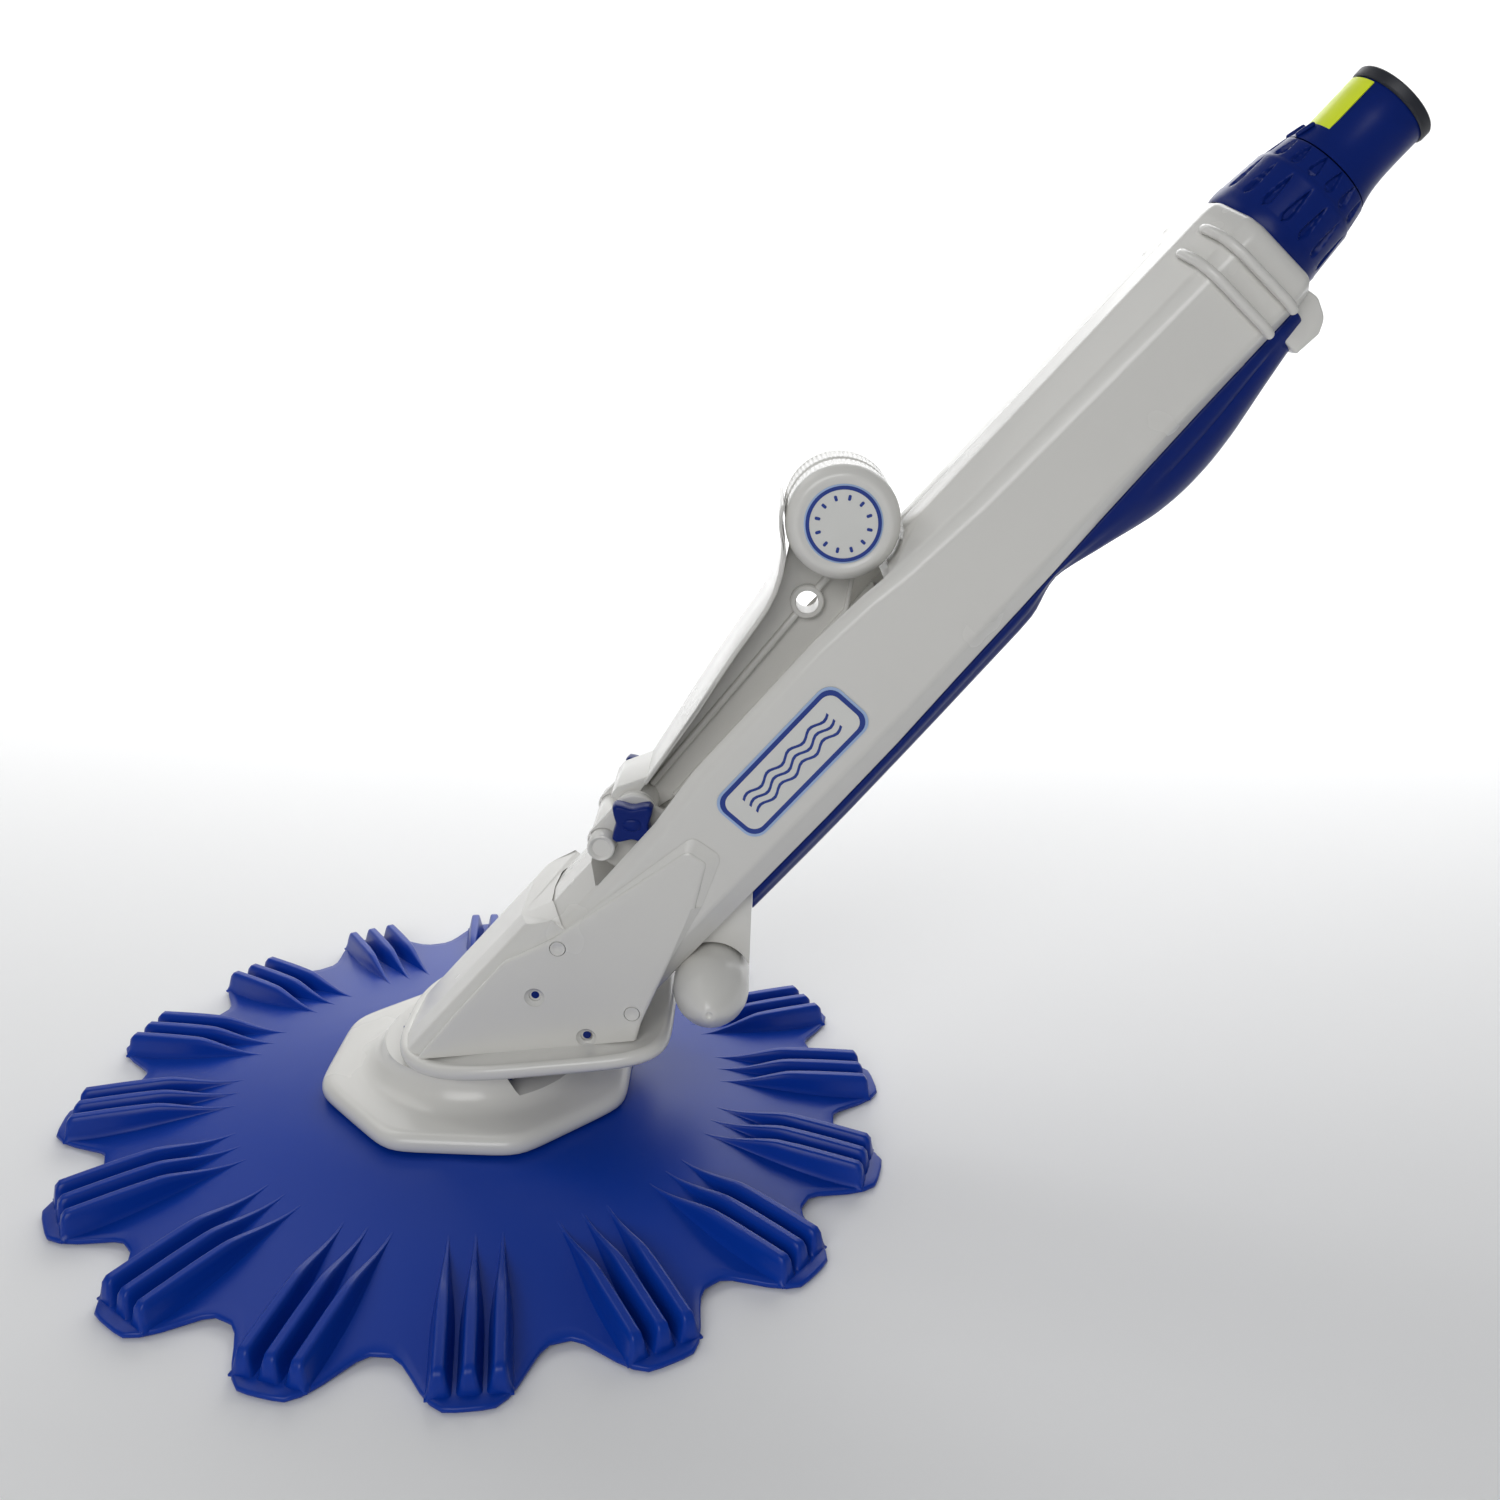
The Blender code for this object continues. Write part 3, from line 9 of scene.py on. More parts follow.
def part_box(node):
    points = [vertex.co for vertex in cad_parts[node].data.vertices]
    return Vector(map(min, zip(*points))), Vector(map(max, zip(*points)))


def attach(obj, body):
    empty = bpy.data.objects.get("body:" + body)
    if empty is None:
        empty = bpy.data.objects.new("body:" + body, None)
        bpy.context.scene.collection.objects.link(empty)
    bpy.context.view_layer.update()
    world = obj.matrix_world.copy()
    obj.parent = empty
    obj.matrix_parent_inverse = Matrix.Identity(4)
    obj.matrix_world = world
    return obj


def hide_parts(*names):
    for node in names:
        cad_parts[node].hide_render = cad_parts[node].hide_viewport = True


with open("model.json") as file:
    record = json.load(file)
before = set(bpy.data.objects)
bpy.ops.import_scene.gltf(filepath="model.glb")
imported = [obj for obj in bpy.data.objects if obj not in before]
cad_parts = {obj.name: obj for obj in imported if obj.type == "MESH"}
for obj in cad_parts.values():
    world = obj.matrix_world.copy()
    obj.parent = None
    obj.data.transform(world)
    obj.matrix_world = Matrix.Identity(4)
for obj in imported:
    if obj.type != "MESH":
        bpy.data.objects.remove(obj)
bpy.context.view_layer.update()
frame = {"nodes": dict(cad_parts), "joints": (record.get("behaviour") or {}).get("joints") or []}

# The casing, and all it carries, is laid out in the tube frame: X is the distance along the casing
# from its lower end (the station), Y goes across, and Z is the height above the casing's middle.

joints = {joint["name"]: joint for joint in frame["joints"]}
TAIL_END = 0.645
DISC_TURN = radians(9.23)

# ---- places


def columns(x, y, z, origin):
    """Return the matrix whose axes and origin are these."""
    return Matrix.Translation(origin) @ Matrix((x, y, z)).transposed().to_4x4()


along = Vector(joints["hose_swivel"]["axis"]).normalized()
across = Vector((0, 1, 0))
above = along.cross(across)
LEAN = atan2(along.x, along.z)
tube_start = Vector(joints["hose_swivel"]["pos_m"]) - along * TAIL_END
TUBE = columns(along, across, above, tube_start)
TUBE_SIDE = columns(along, above, -across, tube_start)
TUBE_END = columns(across, above, along, tube_start)
foot_low, foot_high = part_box("foot")
disc_centre = Vector(((foot_low.x + foot_high.x) / 2, 0, 0))
BODY = Matrix.Translation(disc_centre)
DISC = BODY @ Matrix.Rotation(DISC_TURN, 4, "Z")


def in_side(point, turn=0.0):
    """Return the place of a cross-wise axis: X leans with the casing, Z points to the near side."""
    return columns(along, above, -across, Vector(point)) @ Matrix.Rotation(turn, 4, "Z")


pivot = Vector(joints["arm_tilt"]["pos_m"])
wheel_centre = Vector(joints["wheel_left_spin"]["pos_m"])
roller_centre = Vector(joints["roller_left_spin"]["pos_m"])
reach = (wheel_centre - pivot).length
arm_line = TUBE.inverted() @ wheel_centre - TUBE.inverted() @ pivot
ARM = in_side(pivot, atan2(arm_line.z, arm_line.x))
WHEEL = in_side(wheel_centre)
flip = Matrix.Rotation(pi, 4, "X")
SIDES = (("left", 1), ("right", -1))

def on_side(place, sign):
    """Turn a place over for a piece on the far side."""
    return place if sign > 0 else place @ flip


def show(thing):
    bpy.context.scene.collection.objects.link(thing)


# ---- materials


def link(tree, source, output, target, name):
    tree.links.new(source.outputs[output], target.inputs[name])


def noise(tree, place, scale, detail=3.0, stretch=(1, 1, 1)):
    """Add a noise that reads the piece's own place, stretched along its axes."""
    mapping = tree.nodes.new("ShaderNodeMapping")
    mapping.inputs["Scale"].default_value = stretch
    tree.links.new(place, mapping.inputs["Vector"])
    grain = tree.nodes.new("ShaderNodeTexNoise")
    grain.inputs["Scale"].default_value = scale
    grain.inputs["Detail"].default_value = detail
    link(tree, mapping, "Vector", grain, "Vector")
    return grain


def spread(tree, source, output, low, high, start=0.3, end=0.7):
    """Map a noise's middle range to the range from low to high."""
    mapped = tree.nodes.new("ShaderNodeMapRange")
    mapped.inputs["From Min"].default_value = start
    mapped.inputs["From Max"].default_value = end
    mapped.inputs["To Min"].default_value = low
    mapped.inputs["To Max"].default_value = high
    link(tree, source, output, mapped, "Value")
    return mapped


def finish(name, shade, tint, roughness, patch=9.0, grain=900.0, bump=0.03, coat=0.0, metallic=0.0,
           stretch=(1, 1, 1), mirror=0.5):
    """Make a moulded finish: two close colours in soft patches, uneven gloss and a fine skin."""
    made = bpy.data.materials.new(name)
    made.use_nodes = True
    tree = made.node_tree
    shader = tree.nodes["Principled BSDF"]
    place = tree.nodes.new("ShaderNodeTexCoord").outputs["Object"]
    patches = noise(tree, place, patch, 2.0, stretch)
    share = spread(tree, patches, "Fac", 0.0, 1.0)
    colour = tree.nodes.new("ShaderNodeMix")
    colour.data_type = "RGBA"
    colour.inputs[6].default_value = (*shade, 1)
    colour.inputs[7].default_value = (*tint, 1)
    link(tree, share, "Result", colour, "Factor")
    tree.links.new(colour.outputs[2], shader.inputs["Base Color"])
    wear = noise(tree, place, patch * 3, 3.0, stretch)
    gloss = spread(tree, wear, "Fac", roughness * 0.94, roughness * 1.08)
    link(tree, gloss, "Result", shader, "Roughness")
    skin_grain = noise(tree, place, grain, 2.0, stretch)
    relief = tree.nodes.new("ShaderNodeBump")
    relief.inputs["Strength"].default_value = bump
    relief.inputs["Distance"].default_value = 0.0001
    link(tree, skin_grain, "Fac", relief, "Height")
    link(tree, relief, "Normal", shader, "Normal")
    shader.inputs["Metallic"].default_value = metallic
    shader.inputs["Specular IOR Level"].default_value = mirror
    shader.inputs["Coat Weight"].default_value = coat
    shader.inputs["Coat Roughness"].default_value = 0.08
    return made


WHITE = finish("moulded_white", (0.72, 0.71, 0.675), (0.70, 0.69, 0.66), 0.26, patch=5.0, coat=0.15)
NAVY = finish("moulded_navy", (0.003, 0.016, 0.150), (0.004, 0.019, 0.168), 0.30, patch=6.0, mirror=0.15)
ROYAL = finish("soft_royal_blue", (0.001, 0.034, 0.31), (0.002, 0.040, 0.35), 0.30, patch=5.0, grain=700.0,
               mirror=0.25)
BLACK = finish("black_rubber", (0.010, 0.012, 0.020), (0.016, 0.018, 0.026), 0.50, grain=1500.0)
YELLOW = finish("yellow_film", (0.80, 0.93, 0.02), (0.76, 0.89, 0.025), 0.42, patch=60.0)
FOAM = finish("pale_foam", (0.62, 0.64, 0.66), (0.72, 0.74, 0.76), 0.85, patch=80.0, grain=600.0, bump=0.6)
STEEL = finish("turned_steel", (0.60, 0.60, 0.62), (0.54, 0.54, 0.57), 0.26, patch=40.0, metallic=1.0,
               stretch=(1, 0.05, 1))
PALE = finish("badge_halo", (0.34, 0.47, 0.72), (0.38, 0.51, 0.76), 0.35, patch=30.0)
INK = finish("badge_ink", (0.008, 0.035, 0.25), (0.012, 0.045, 0.29), 0.35, patch=30.0)
FIELD = finish("badge_field", (0.72, 0.72, 0.69), (0.69, 0.69, 0.665), 0.33, patch=30.0)

# ---- shapes


def add(name, shape, place, body, look, stands_for=(), smooth=38):
    """Place a shape, give it its finish and let it ride on its body."""
    shape.transform(place)
    mesh = bpy.data.meshes.new(name)
    shape.to_mesh(mesh)
    shape.free()
    mesh.materials.append(look)
    mesh.shade_smooth()
    mesh.set_sharp_from_angle(angle=radians(smooth))
    piece = bpy.data.objects.new(name, mesh)
    show(piece)
    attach(piece, body)
    if stands_for:
        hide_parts(*stands_for)
    return piece


def skin(rows, loop=False):
    """Return a shape that passes through rings of points, closed at both ends or back on itself."""
    rows = rows + rows[:1] if loop else rows
    shape = bmesh.new()
    bmesh.ops.create_grid(shape, x_segments=len(rows[0]), y_segments=len(rows) - 1, size=1)
    shape.verts.ensure_lookup_table()
    ordered = [point for row in rows for point in [*row, row[0]]]
    for vert, point in zip(shape.verts, ordered):
        vert.co = point
    bmesh.ops.remove_doubles(shape, verts=shape.verts, dist=1e-6)
    open_edges = [edge for edge in shape.edges if edge.is_boundary]
    bmesh.ops.holes_fill(shape, edges=open_edges)
    bmesh.ops.recalc_face_normals(shape, faces=shape.faces)
    return shape


def spun(profile, steps=96):
    """Return a closed turned shape from its (radius, height) outline."""
    shape = bmesh.new()
    verts = [shape.verts.new((max(r, 0.0), 0, z)) for r, z in profile]
    edges = [shape.edges.new(pair) for pair in zip(verts, verts[1:])]
    if profile[0][0] > 1e-6 and profile[-1][0] > 1e-6:
        edges.append(shape.edges.new((verts[-1], verts[0])))
    bmesh.ops.spin(
        shape, geom=verts + edges, cent=(0, 0, 0), axis=(0, 0, 1), dvec=(0, 0, 0), angle=2 * pi,
        steps=steps, use_merge=True, use_normal_flip=False, use_duplicate=False,
    )
    bmesh.ops.remove_doubles(shape, verts=shape.verts, dist=1e-6)
    bmesh.ops.recalc_face_normals(shape, faces=shape.faces)
    return shape


def bevel(shape, edges, width, steps):
    bmesh.ops.bevel(
        shape, geom=edges, offset=width, offset_type="OFFSET", segments=steps, profile=0.5,
        affect="EDGES", clamp_overlap=True, material=-1,
    )
    return shape


def moved(shape, *way):
    bmesh.ops.translate(shape, verts=shape.verts, vec=way)
    return shape


def ease(shape, width, steps=3, angle=35, wanted=None):
    """Round the edges that are sharper than an angle, or only those wanted."""
    sharp = [
        edge for edge in shape.edges
        if len(edge.link_faces) == 2 and edge.calc_face_angle(0) > radians(angle)
        and (wanted is None or wanted((edge.verts[0].co + edge.verts[1].co) / 2))
    ]
    return bevel(shape, sharp, width, steps)


def plate(outline, low, high, rim=0.0, steps=3):
    """Return a flat outline given thickness along Z, with its rim rounded."""
    shape = bmesh.new()
    face = shape.faces.new([shape.verts.new((x, y, low)) for x, y in outline])
    grown = bmesh.ops.extrude_face_region(shape, geom=[face])["geom"]
    raised = [item for item in grown if isinstance(item, bmesh.types.BMVert)]
    bmesh.ops.translate(shape, verts=raised, vec=(0, 0, high - low))
    bmesh.ops.recalc_face_normals(shape, faces=shape.faces)
    if rim:
        caps = [edge for edge in shape.edges if abs(edge.verts[0].co.z - edge.verts[1].co.z) < 1e-9]
        bevel(shape, caps, rim, steps)
    return shape


def rounded(points, radii, steps=5):
    """Return an outline with its corners rounded, each by its own radius."""
    if not hasattr(radii, "__len__"):
        radii = [radii] * len(points)
    outline = []
    for i, radius in enumerate(radii):
        before, corner, after = (Vector(points[j % len(points)]) for j in (i - 1, i, i + 1))
        if radius <= 0:
            outline.append(tuple(corner))
            continue
        to_before = (before - corner).normalized()
        to_after = (after - corner).normalized()
        half = to_before.angle(to_after) / 2
        run = min(radius / tan(half), 0.48 * min((before - corner).length, (after - corner).length))
        centre = corner + (to_before + to_after).normalized() * (run / cos(half))
        start = corner + to_before * run - centre
        end = corner + to_after * run - centre
        sweep = start.angle_signed(end)
        for k in range(steps + 1):
            outline.append(tuple(centre + Matrix.Rotation(-sweep * k / steps, 2) @ start))
    return outline


def arc(centre, radius, start, end, steps):
    """Return points along part of a circle, from one angle to another."""
    return [
        (
            centre[0] + radius * cos(start + (end - start) * i / steps),
            centre[1] + radius * sin(start + (end - start) * i / steps),
        )
        for i in range(steps + 1)
    ]


def carve(shape, *cutters):
    """Return the shape less the cutters."""
    holders = []
    for part in (shape, *cutters):
        mesh = bpy.data.meshes.new("carving")
        part.to_mesh(mesh)
        part.free()
        holder = bpy.data.objects.new("carving", mesh)
        show(holder)
        holders.append(holder)
    for cutter in holders[1:]:
        change = holders[0].modifiers.new("carve", "BOOLEAN")
        change.operation = "DIFFERENCE"
        change.solver = "EXACT"
        change.object = cutter
    graph = bpy.context.evaluated_depsgraph_get()
    result = bpy.data.meshes.new_from_object(holders[0].evaluated_get(graph))
    carved = bmesh.new()
    carved.from_mesh(result)
    bmesh.ops.remove_doubles(carved, verts=carved.verts, dist=1e-6)
    for holder in holders:
        bpy.data.objects.remove(holder)
    return carved


def block(low, high):
    """Return a box between two corners."""
    shape = bmesh.new()
    bmesh.ops.create_cube(shape, size=1)
    for vert in shape.verts:
        vert.co = [b if c > 0 else a for a, b, c in zip(low, high, vert.co)]
    return shape


def rod(radius, low, high, steps=48):
    """Return a plain round cutter along Z."""
    return spun([(0, high), (radius, high), (radius, low), (0, low)], steps)


def refined(node, width, steps, angle):
    """Return a CAD node's own solid with its edges rounded."""
    shape = bmesh.new()
    shape.from_mesh(frame["nodes"][node].data)
    bmesh.ops.remove_doubles(shape, verts=shape.verts, dist=1e-6)
    bmesh.ops.dissolve_limit(
        shape, angle_limit=radians(1), use_dissolve_boundaries=False, verts=shape.verts,
        edges=shape.edges, delimit=set(),
    )
    return ease(shape, width, steps, angle)


def smoothstep(t):
    """Return a share that eases from 0 to 1."""
    t = min(1.0, max(0.0, t))
    return t * t * (3 - 2 * t)


def level(knots, position):
    """Return a value that runs straight between (position, value) knots."""
    for (s0, v0), (s1, v1) in zip(knots, knots[1:]):
        if position <= s1:
            return v0 + (v1 - v0) * (position - s0) / (s1 - s0)
    return knots[-1][1]


def joined(*shapes):
    """Return one shape that holds several closed ones."""
    whole = bmesh.new()
    for shape in shapes:
        mesh = bpy.data.meshes.new("joining")
        shape.to_mesh(mesh)
        shape.free()
        whole.from_mesh(mesh)
        bpy.data.meshes.remove(mesh)
    return whole


def repaint(look, *nodes):
    """Give CAD nodes that show their finish."""
    for node in nodes:
        mesh = frame["nodes"][node].data
        mesh.materials.clear()
        mesh.materials.append(look)
        mesh.shade_smooth()
        mesh.set_sharp_from_angle(angle=radians(38))


# ---- camera, floor and lights


def set_camera():
    """Stand the camera in front, a little above, with a slight roll."""
    tilt, roll = 0.3313, 0.0379
    look = Vector((0, cos(tilt), -sin(tilt)))
    right = Vector((1, 0, 0))
    up = right.cross(look)
    data = bpy.data.cameras.new("camera")
    data.sensor_width = 36
    data.lens = 33.114
    data.clip_start = 0.02
    camera = bpy.data.objects.new("camera", data)
    show(camera)
    camera.matrix_world = columns(
        right * cos(roll) + up * sin(roll), up * cos(roll) - right * sin(roll), -look,
        Vector((0.03604, -0.6420, 0.4295)),
    )
    bpy.context.scene.camera = camera


def soft_light(name, place, target, size, power, colour=(1, 1, 1)):
    """Hang a broad lamp at a place and turn it to its target."""
    data = bpy.data.lights.new(name, "AREA")
    data.shape = "RECTANGLE"
    data.size, data.size_y = size
    data.energy = power
    data.color = colour
    lamp = bpy.data.objects.new(name, data)
    show(lamp)
    lamp.location = place
    lamp.rotation_euler = (Vector(target) - Vector(place)).to_track_quat("-Z", "Y").to_euler()


def set_studio():
    """Lay the pale floor, which curves up into a wall far behind, and hang the soft lights."""
    profile = [(-7.0, 0.0), (3.4, 0.0)]
    profile += [(3.4 + 1.6 * sin(a), 1.6 - 1.6 * cos(a)) for a in (pi / 2 * k / 16 for k in range(1, 17))]
    profile += [(5.0, 6.5)]
    floor_shape = bmesh.new()
    bmesh.ops.create_grid(floor_shape, x_segments=1, y_segments=len(profile) - 1, size=1)
    floor_shape.verts.ensure_lookup_table()
    for number, (y, z) in enumerate(profile):
        for side, vert in enumerate(floor_shape.verts[2 * number:2 * number + 2]):
            vert.co = (-9 if side == 0 else 9, y, z - 0.0004)
    mesh = bpy.data.meshes.new("studio_floor")
    floor_shape.to_mesh(mesh)
    floor_shape.free()
    mesh.shade_smooth()
    floor = bpy.data.objects.new("studio_floor", mesh)
    show(floor)
    paper = finish("studio_paper", (0.88, 0.88, 0.88), (0.865, 0.865, 0.865), 0.9, patch=1.5)
    mesh.materials.append(paper)
    world = bpy.data.worlds.new("studio")
    bpy.context.scene.world = world
    world.use_nodes = True
    sky = world.node_tree.nodes["Background"]
    sky.inputs["Color"].default_value = (0.93, 0.96, 1.0, 1)
    sky.inputs["Strength"].default_value = 0.20
    soft_light("key", (-1.3, 0.5, 1.7), (0, 0, 0.1), (1.3, 1.0), 5, (1.0, 0.995, 0.97))
    soft_light("back", (0.5, 1.6, 1.5), (0, 0.2, 0.1), (2.2, 1.0), 9)
    soft_light("front", (-0.5, -2.1, 1.3), (0, 0, 0.2), (1.6, 1.2), 22)
    soft_light("wall", (0.0, 1.2, 3.4), (0.0, 5.0, 1.8), (3.5, 1.5), 300)
    view = bpy.context.scene.view_settings
    view.view_transform = "Standard"
    view.look = "None"


# ---- finned disc

LOBES = 16
LOBE_PITCH = 2 * pi / LOBES
DISC_RADIUS = 0.2155
NOTCH_RADIUS = 0.188
LOBE_FLAT = radians(2.2)
NOTCH_FLAT = radians(1.1)
HUB_HOLE = 0.0464
SHEET = 0.003
SHEET_KNOTS = ((0.0, 0.0227), (0.080, 0.0227), (0.129, 0.0150), (0.199, 0.0030), (0.3, 0.0030))
KNEE = 0.010
RIB_LANES = (-0.0122, 0.0, 0.0122)
RIB_START = 0.126
RIB_END = 0.2095
RIB_CREST = 0.0186
RIB_CREST_FALL = 0.0046
RIB_FULL = 0.036
RIB_DOME = 0.0040
RIB_SINK = 0.0004
RIB_FLAT = 0.34


def disc_edge(turn):
    """Return the radius of the scalloped edge at an angle from a lobe's middle."""
    offset = abs((turn + LOBE_PITCH / 2) % LOBE_PITCH - LOBE_PITCH / 2)
    fall = (LOBE_PITCH / 2 - NOTCH_FLAT - offset) / (LOBE_PITCH / 2 - NOTCH_FLAT - LOBE_FLAT)
    return NOTCH_RADIUS + (DISC_RADIUS - NOTCH_RADIUS) * smoothstep(fall)


def soft_height(radius):
    """Return the sheet's height with the knees between its slopes smoothed."""
    return sum(level(SHEET_KNOTS, radius + KNEE * (k / 4 - 1)) for k in range(9)) / 9


def make_disc():
    count = LOBES * 16
    turns = [2 * pi * i / count for i in range(count)]
    shares = [0, 0.12, 0.24, 0.36, 0.46, 0.54, 0.62, 0.70, 0.78, 0.85, 0.91, 0.96]

    def ring(share, inset, drop):
        points = []
        for turn in turns:
            edge = disc_edge(turn) - inset
            radius = HUB_HOLE + (edge - HUB_HOLE) * share
            points.append((radius * cos(turn), radius * sin(turn), max(soft_height(radius), SHEET) - drop))
        return points

    rows = [ring(share, 0.0012, 0) for share in shares]
    rows += [ring(1, 0.0012, 0.0), ring(1, 0.0004, 0.0004), ring(1, 0, 0.0012)]
    rows += [ring(1, 0, SHEET - 0.0012), ring(1, 0.0004, SHEET - 0.0004)]
    rows += [ring(share, 0.0012, SHEET) for share in [1] + shares[::-1]]
    add("disc_sheet", skin(rows, loop=True), DISC, "disc", ROYAL, ["finned_disc"], smooth=60)

    ribs = bmesh.new()
    for lobe in range(LOBES):
        for lane in RIB_LANES:
            first = len(ribs.verts)
            bmesh.ops.create_grid(ribs, x_segments=30, y_segments=14, size=0.5)
            ribs.verts.ensure_lookup_table()
            own = ribs.verts[first:]
            for vert in own:
                shape_rib(vert, vert.co.x + 0.5, vert.co.y * 2, lane)
            turn = Matrix.Rotation(lobe * LOBE_PITCH, 3, "Z")
            bmesh.ops.rotate(ribs, verts=own, cent=(0, 0, 0), matrix=turn)
    rims = [edge for edge in ribs.edges if edge.is_boundary]
    grown = bmesh.ops.extrude_edge_only(ribs, edges=rims)["geom"]
    skirt = [item for item in grown if isinstance(item, bmesh.types.BMVert)]
    bmesh.ops.translate(ribs, verts=skirt, vec=(0, 0, -0.0010))
    bmesh.ops.holes_fill(ribs, edges=[edge for edge in ribs.edges if edge.is_boundary])
    bmesh.ops.recalc_face_normals(ribs, faces=ribs.faces)
    add("disc_ribs", ribs, DISC, "disc", ROYAL, smooth=50)


def shape_rib(vert, t, y, lane):
    """Place one point of a rib: t runs from its pointed inner end to its blunt outer end, y across."""
    x = RIB_START + (RIB_END - RIB_START) * (1 - (1 - t) ** 1.15)
    rise = smoothstep((x - RIB_START) / 0.040) ** 0.75
    fall = (x - RIB_START - RIB_FULL) / (RIB_END - RIB_START - RIB_FULL)
    crest = RIB_CREST - RIB_CREST_FALL * max(0.0, fall) ** 1.3
    end = max(0.0, 1 - max(0.0, (x - RIB_END + RIB_DOME) / RIB_DOME) ** 2) ** 0.5
    half = 0.0012 + 0.0044 * smoothstep((x - RIB_START) / 0.055)
    across_share = 1 - smoothstep((abs(y) - RIB_FLAT) / (1 - RIB_FLAT))
    side = lane + y * half
    floor = max(soft_height(hypot(x, side)), SHEET)
    top = floor + (crest - floor) * rise * end
    vert.co = (x, side, floor - RIB_SINK + (top - floor + RIB_SINK) * across_share ** 1.15)


# ---- foot, neck vanes and lip

FLANGE_HALF = 0.079
NECK = 0.050
COLLAR_TILT = radians(8)
COLLAR_X = 0.031
COLLAR_TOP = 0.0585
COLLAR_THICKNESS = 0.007
COLLAR_PLACE = BODY @ Matrix.Translation((COLLAR_X, 0, COLLAR_TOP + COLLAR_X * tan(COLLAR_TILT)))
FRONT_BOW = 2.9
REAR_BOW = 6.0
VANES = 20


def octagon(turn, half):
    """Return the radius of an octagon with soft corners."""
    pull = sum(abs(cos(turn - k * pi / 4)) ** 26 for k in range(4))
    return half / pull ** (1 / 26)


def collar_under(x):
    """Return the height of the lip's underside, which slopes from front to rear."""
    return COLLAR_TOP + x * tan(COLLAR_TILT) - (COLLAR_THICKNESS + 0.0003) / cos(COLLAR_TILT)


def make_foot():
    turns = [2 * pi * i / 128 for i in range(128)]

    def ring(radius_of, height_of):
        points = []
        for turn in turns:
            radius = radius_of(turn)
            x = radius * cos(turn)
            points.append((x, radius * sin(turn), height_of(x) if callable(height_of) else height_of))
        return points

    rows = [ring(lambda a: 0.038, 0.008), ring(lambda a: 0.0455, 0.008), ring(lambda a: 0.0455, 0.0232)]
    rim = ((0.004, 0.0232), (0.0014, 0.0236), (0.0003, 0.0248), (0, 0.0268), (0.0002, 0.0286),
           (0.0010, 0.0304), (0.0024, 0.0317), (0.0044, 0.0325), (0.0066, 0.0327))
    rows += [ring(lambda a, inset=inset: octagon(a, FLANGE_HALF - inset), z) for inset, z in rim]
    rows.append(ring(lambda a: 0.5 * octagon(a, FLANGE_HALF - 0.010) + 0.5 * 0.068, 0.0329))
    fillet = ((0.0635, 0.0332), (0.0600, 0.0338), (0.0572, 0.0350), (0.0546, 0.0370), (0.0524, 0.0400),
              (0.0510, 0.0435))
    rows += [ring(lambda a, radius=radius: radius, min(z, 0.0440)) for radius, z in fillet]
    rows.append(ring(lambda a: NECK, lambda x: min(collar_under(x) - 0.0002, 0.0465)))
    rows.append(ring(lambda a: NECK, collar_under))
    rows += [ring(lambda a: 0.0380, collar_under)]
    ports = []
    for sign in (-1, 1):
        port = block((0.025, -0.023, 0.0375), (0.075, 0.023, 0.075))
        for vert in port.verts:
            if vert.co.z < 0.05:
                vert.co.y += sign * 0.001
            elif vert.co.y * sign < 0:
                vert.co.y -= sign * 0.010
        turn = Matrix.Rotation(sign * radians(-36), 3, "Z")
        bmesh.ops.rotate(port, verts=port.verts, cent=(0, 0, 0), matrix=turn)
        ports.append(port)
    foot = carve(skin(rows, loop=True), *ports)
    add("foot_flange", foot, BODY, "casing", WHITE, ["foot"], smooth=35)

    vanes = bmesh.new()
    for k in range(VANES):
        blade = block((0.0330, -0.0011, 0.0385), (0.0410, 0.0011, 0.0500))
        lean = Matrix.Rotation(0.45, 3, "X")
        bmesh.ops.rotate(blade, verts=blade.verts, cent=(0.034, 0, 0.046), matrix=lean)
        blade.transform(Matrix.Rotation(2 * pi * (k + 0.5) / VANES, 4, "Z"))
        vanes = joined(vanes, blade)
    add("neck_vanes", vanes, BODY, "casing", NAVY)


def lip_point(turn, half_length, half_width):
    """Return a point of the lip's outline: a bowed front and a squarer rear."""
    c, s = cos(turn), sin(turn)
    bow = FRONT_BOW + (REAR_BOW - FRONT_BOW) * smoothstep(0.5 + 1.6 * c)
    size = (abs(c / half_length) ** bow + abs(s / half_width) ** bow) ** (-1 / bow)
    return size * c, size * s


def make_lip():
    """Make the lip: a plate with a rolled edge that rises in a soft curve to the casing's base."""
    turns = [2 * pi * i / 120 for i in range(120)]
    place = COLLAR_PLACE @ Matrix.Rotation(-COLLAR_TILT, 4, "Y")

    def ring(inset, height):
        return [(*lip_point(turn, 0.0715 - inset, 0.0620 - inset), height) for turn in turns]

    def base(grow, height):
        points = []
        for turn in turns:
            x, y = lip_point(turn, 0.0480 + grow, 0.0440 + grow)
            points.append((x - 0.0030, y, height))
        return points

    under = -COLLAR_THICKNESS
    hole = [(-0.0150 + 0.0250 * cos(turn), 0.0250 * sin(turn)) for turn in turns]
    rows = [[(x, y, under) for x, y in hole], ring(0.0040, under), ring(0.0018, under + 0.0006)]
    bead = ((0.0004, under + 0.0020), (0, under + 0.0036), (0.0003, -0.0012), (0.0012, 0.0002),
            (0.0026, 0.0008), (0.0044, 0.0004), (0.0070, -0.0008))
    rows += [ring(inset, height) for inset, height in bead]
    fillet = ((0.0060, -0.0006), (0.0030, 0.0001), (0.0012, 0.0006), (0.0004, 0.0016), (-0.0020, 0.0016),
              (-0.0022, 0.0006))
    rows += [base(grow, height) for grow, height in fillet]
    rows += [[(x, y, 0.0) for x, y in hole]]
    add("lip", skin(rows, loop=True), place, "casing", WHITE, ["lip_collar"], smooth=50)


# ---- casing, cradle, hood and panels

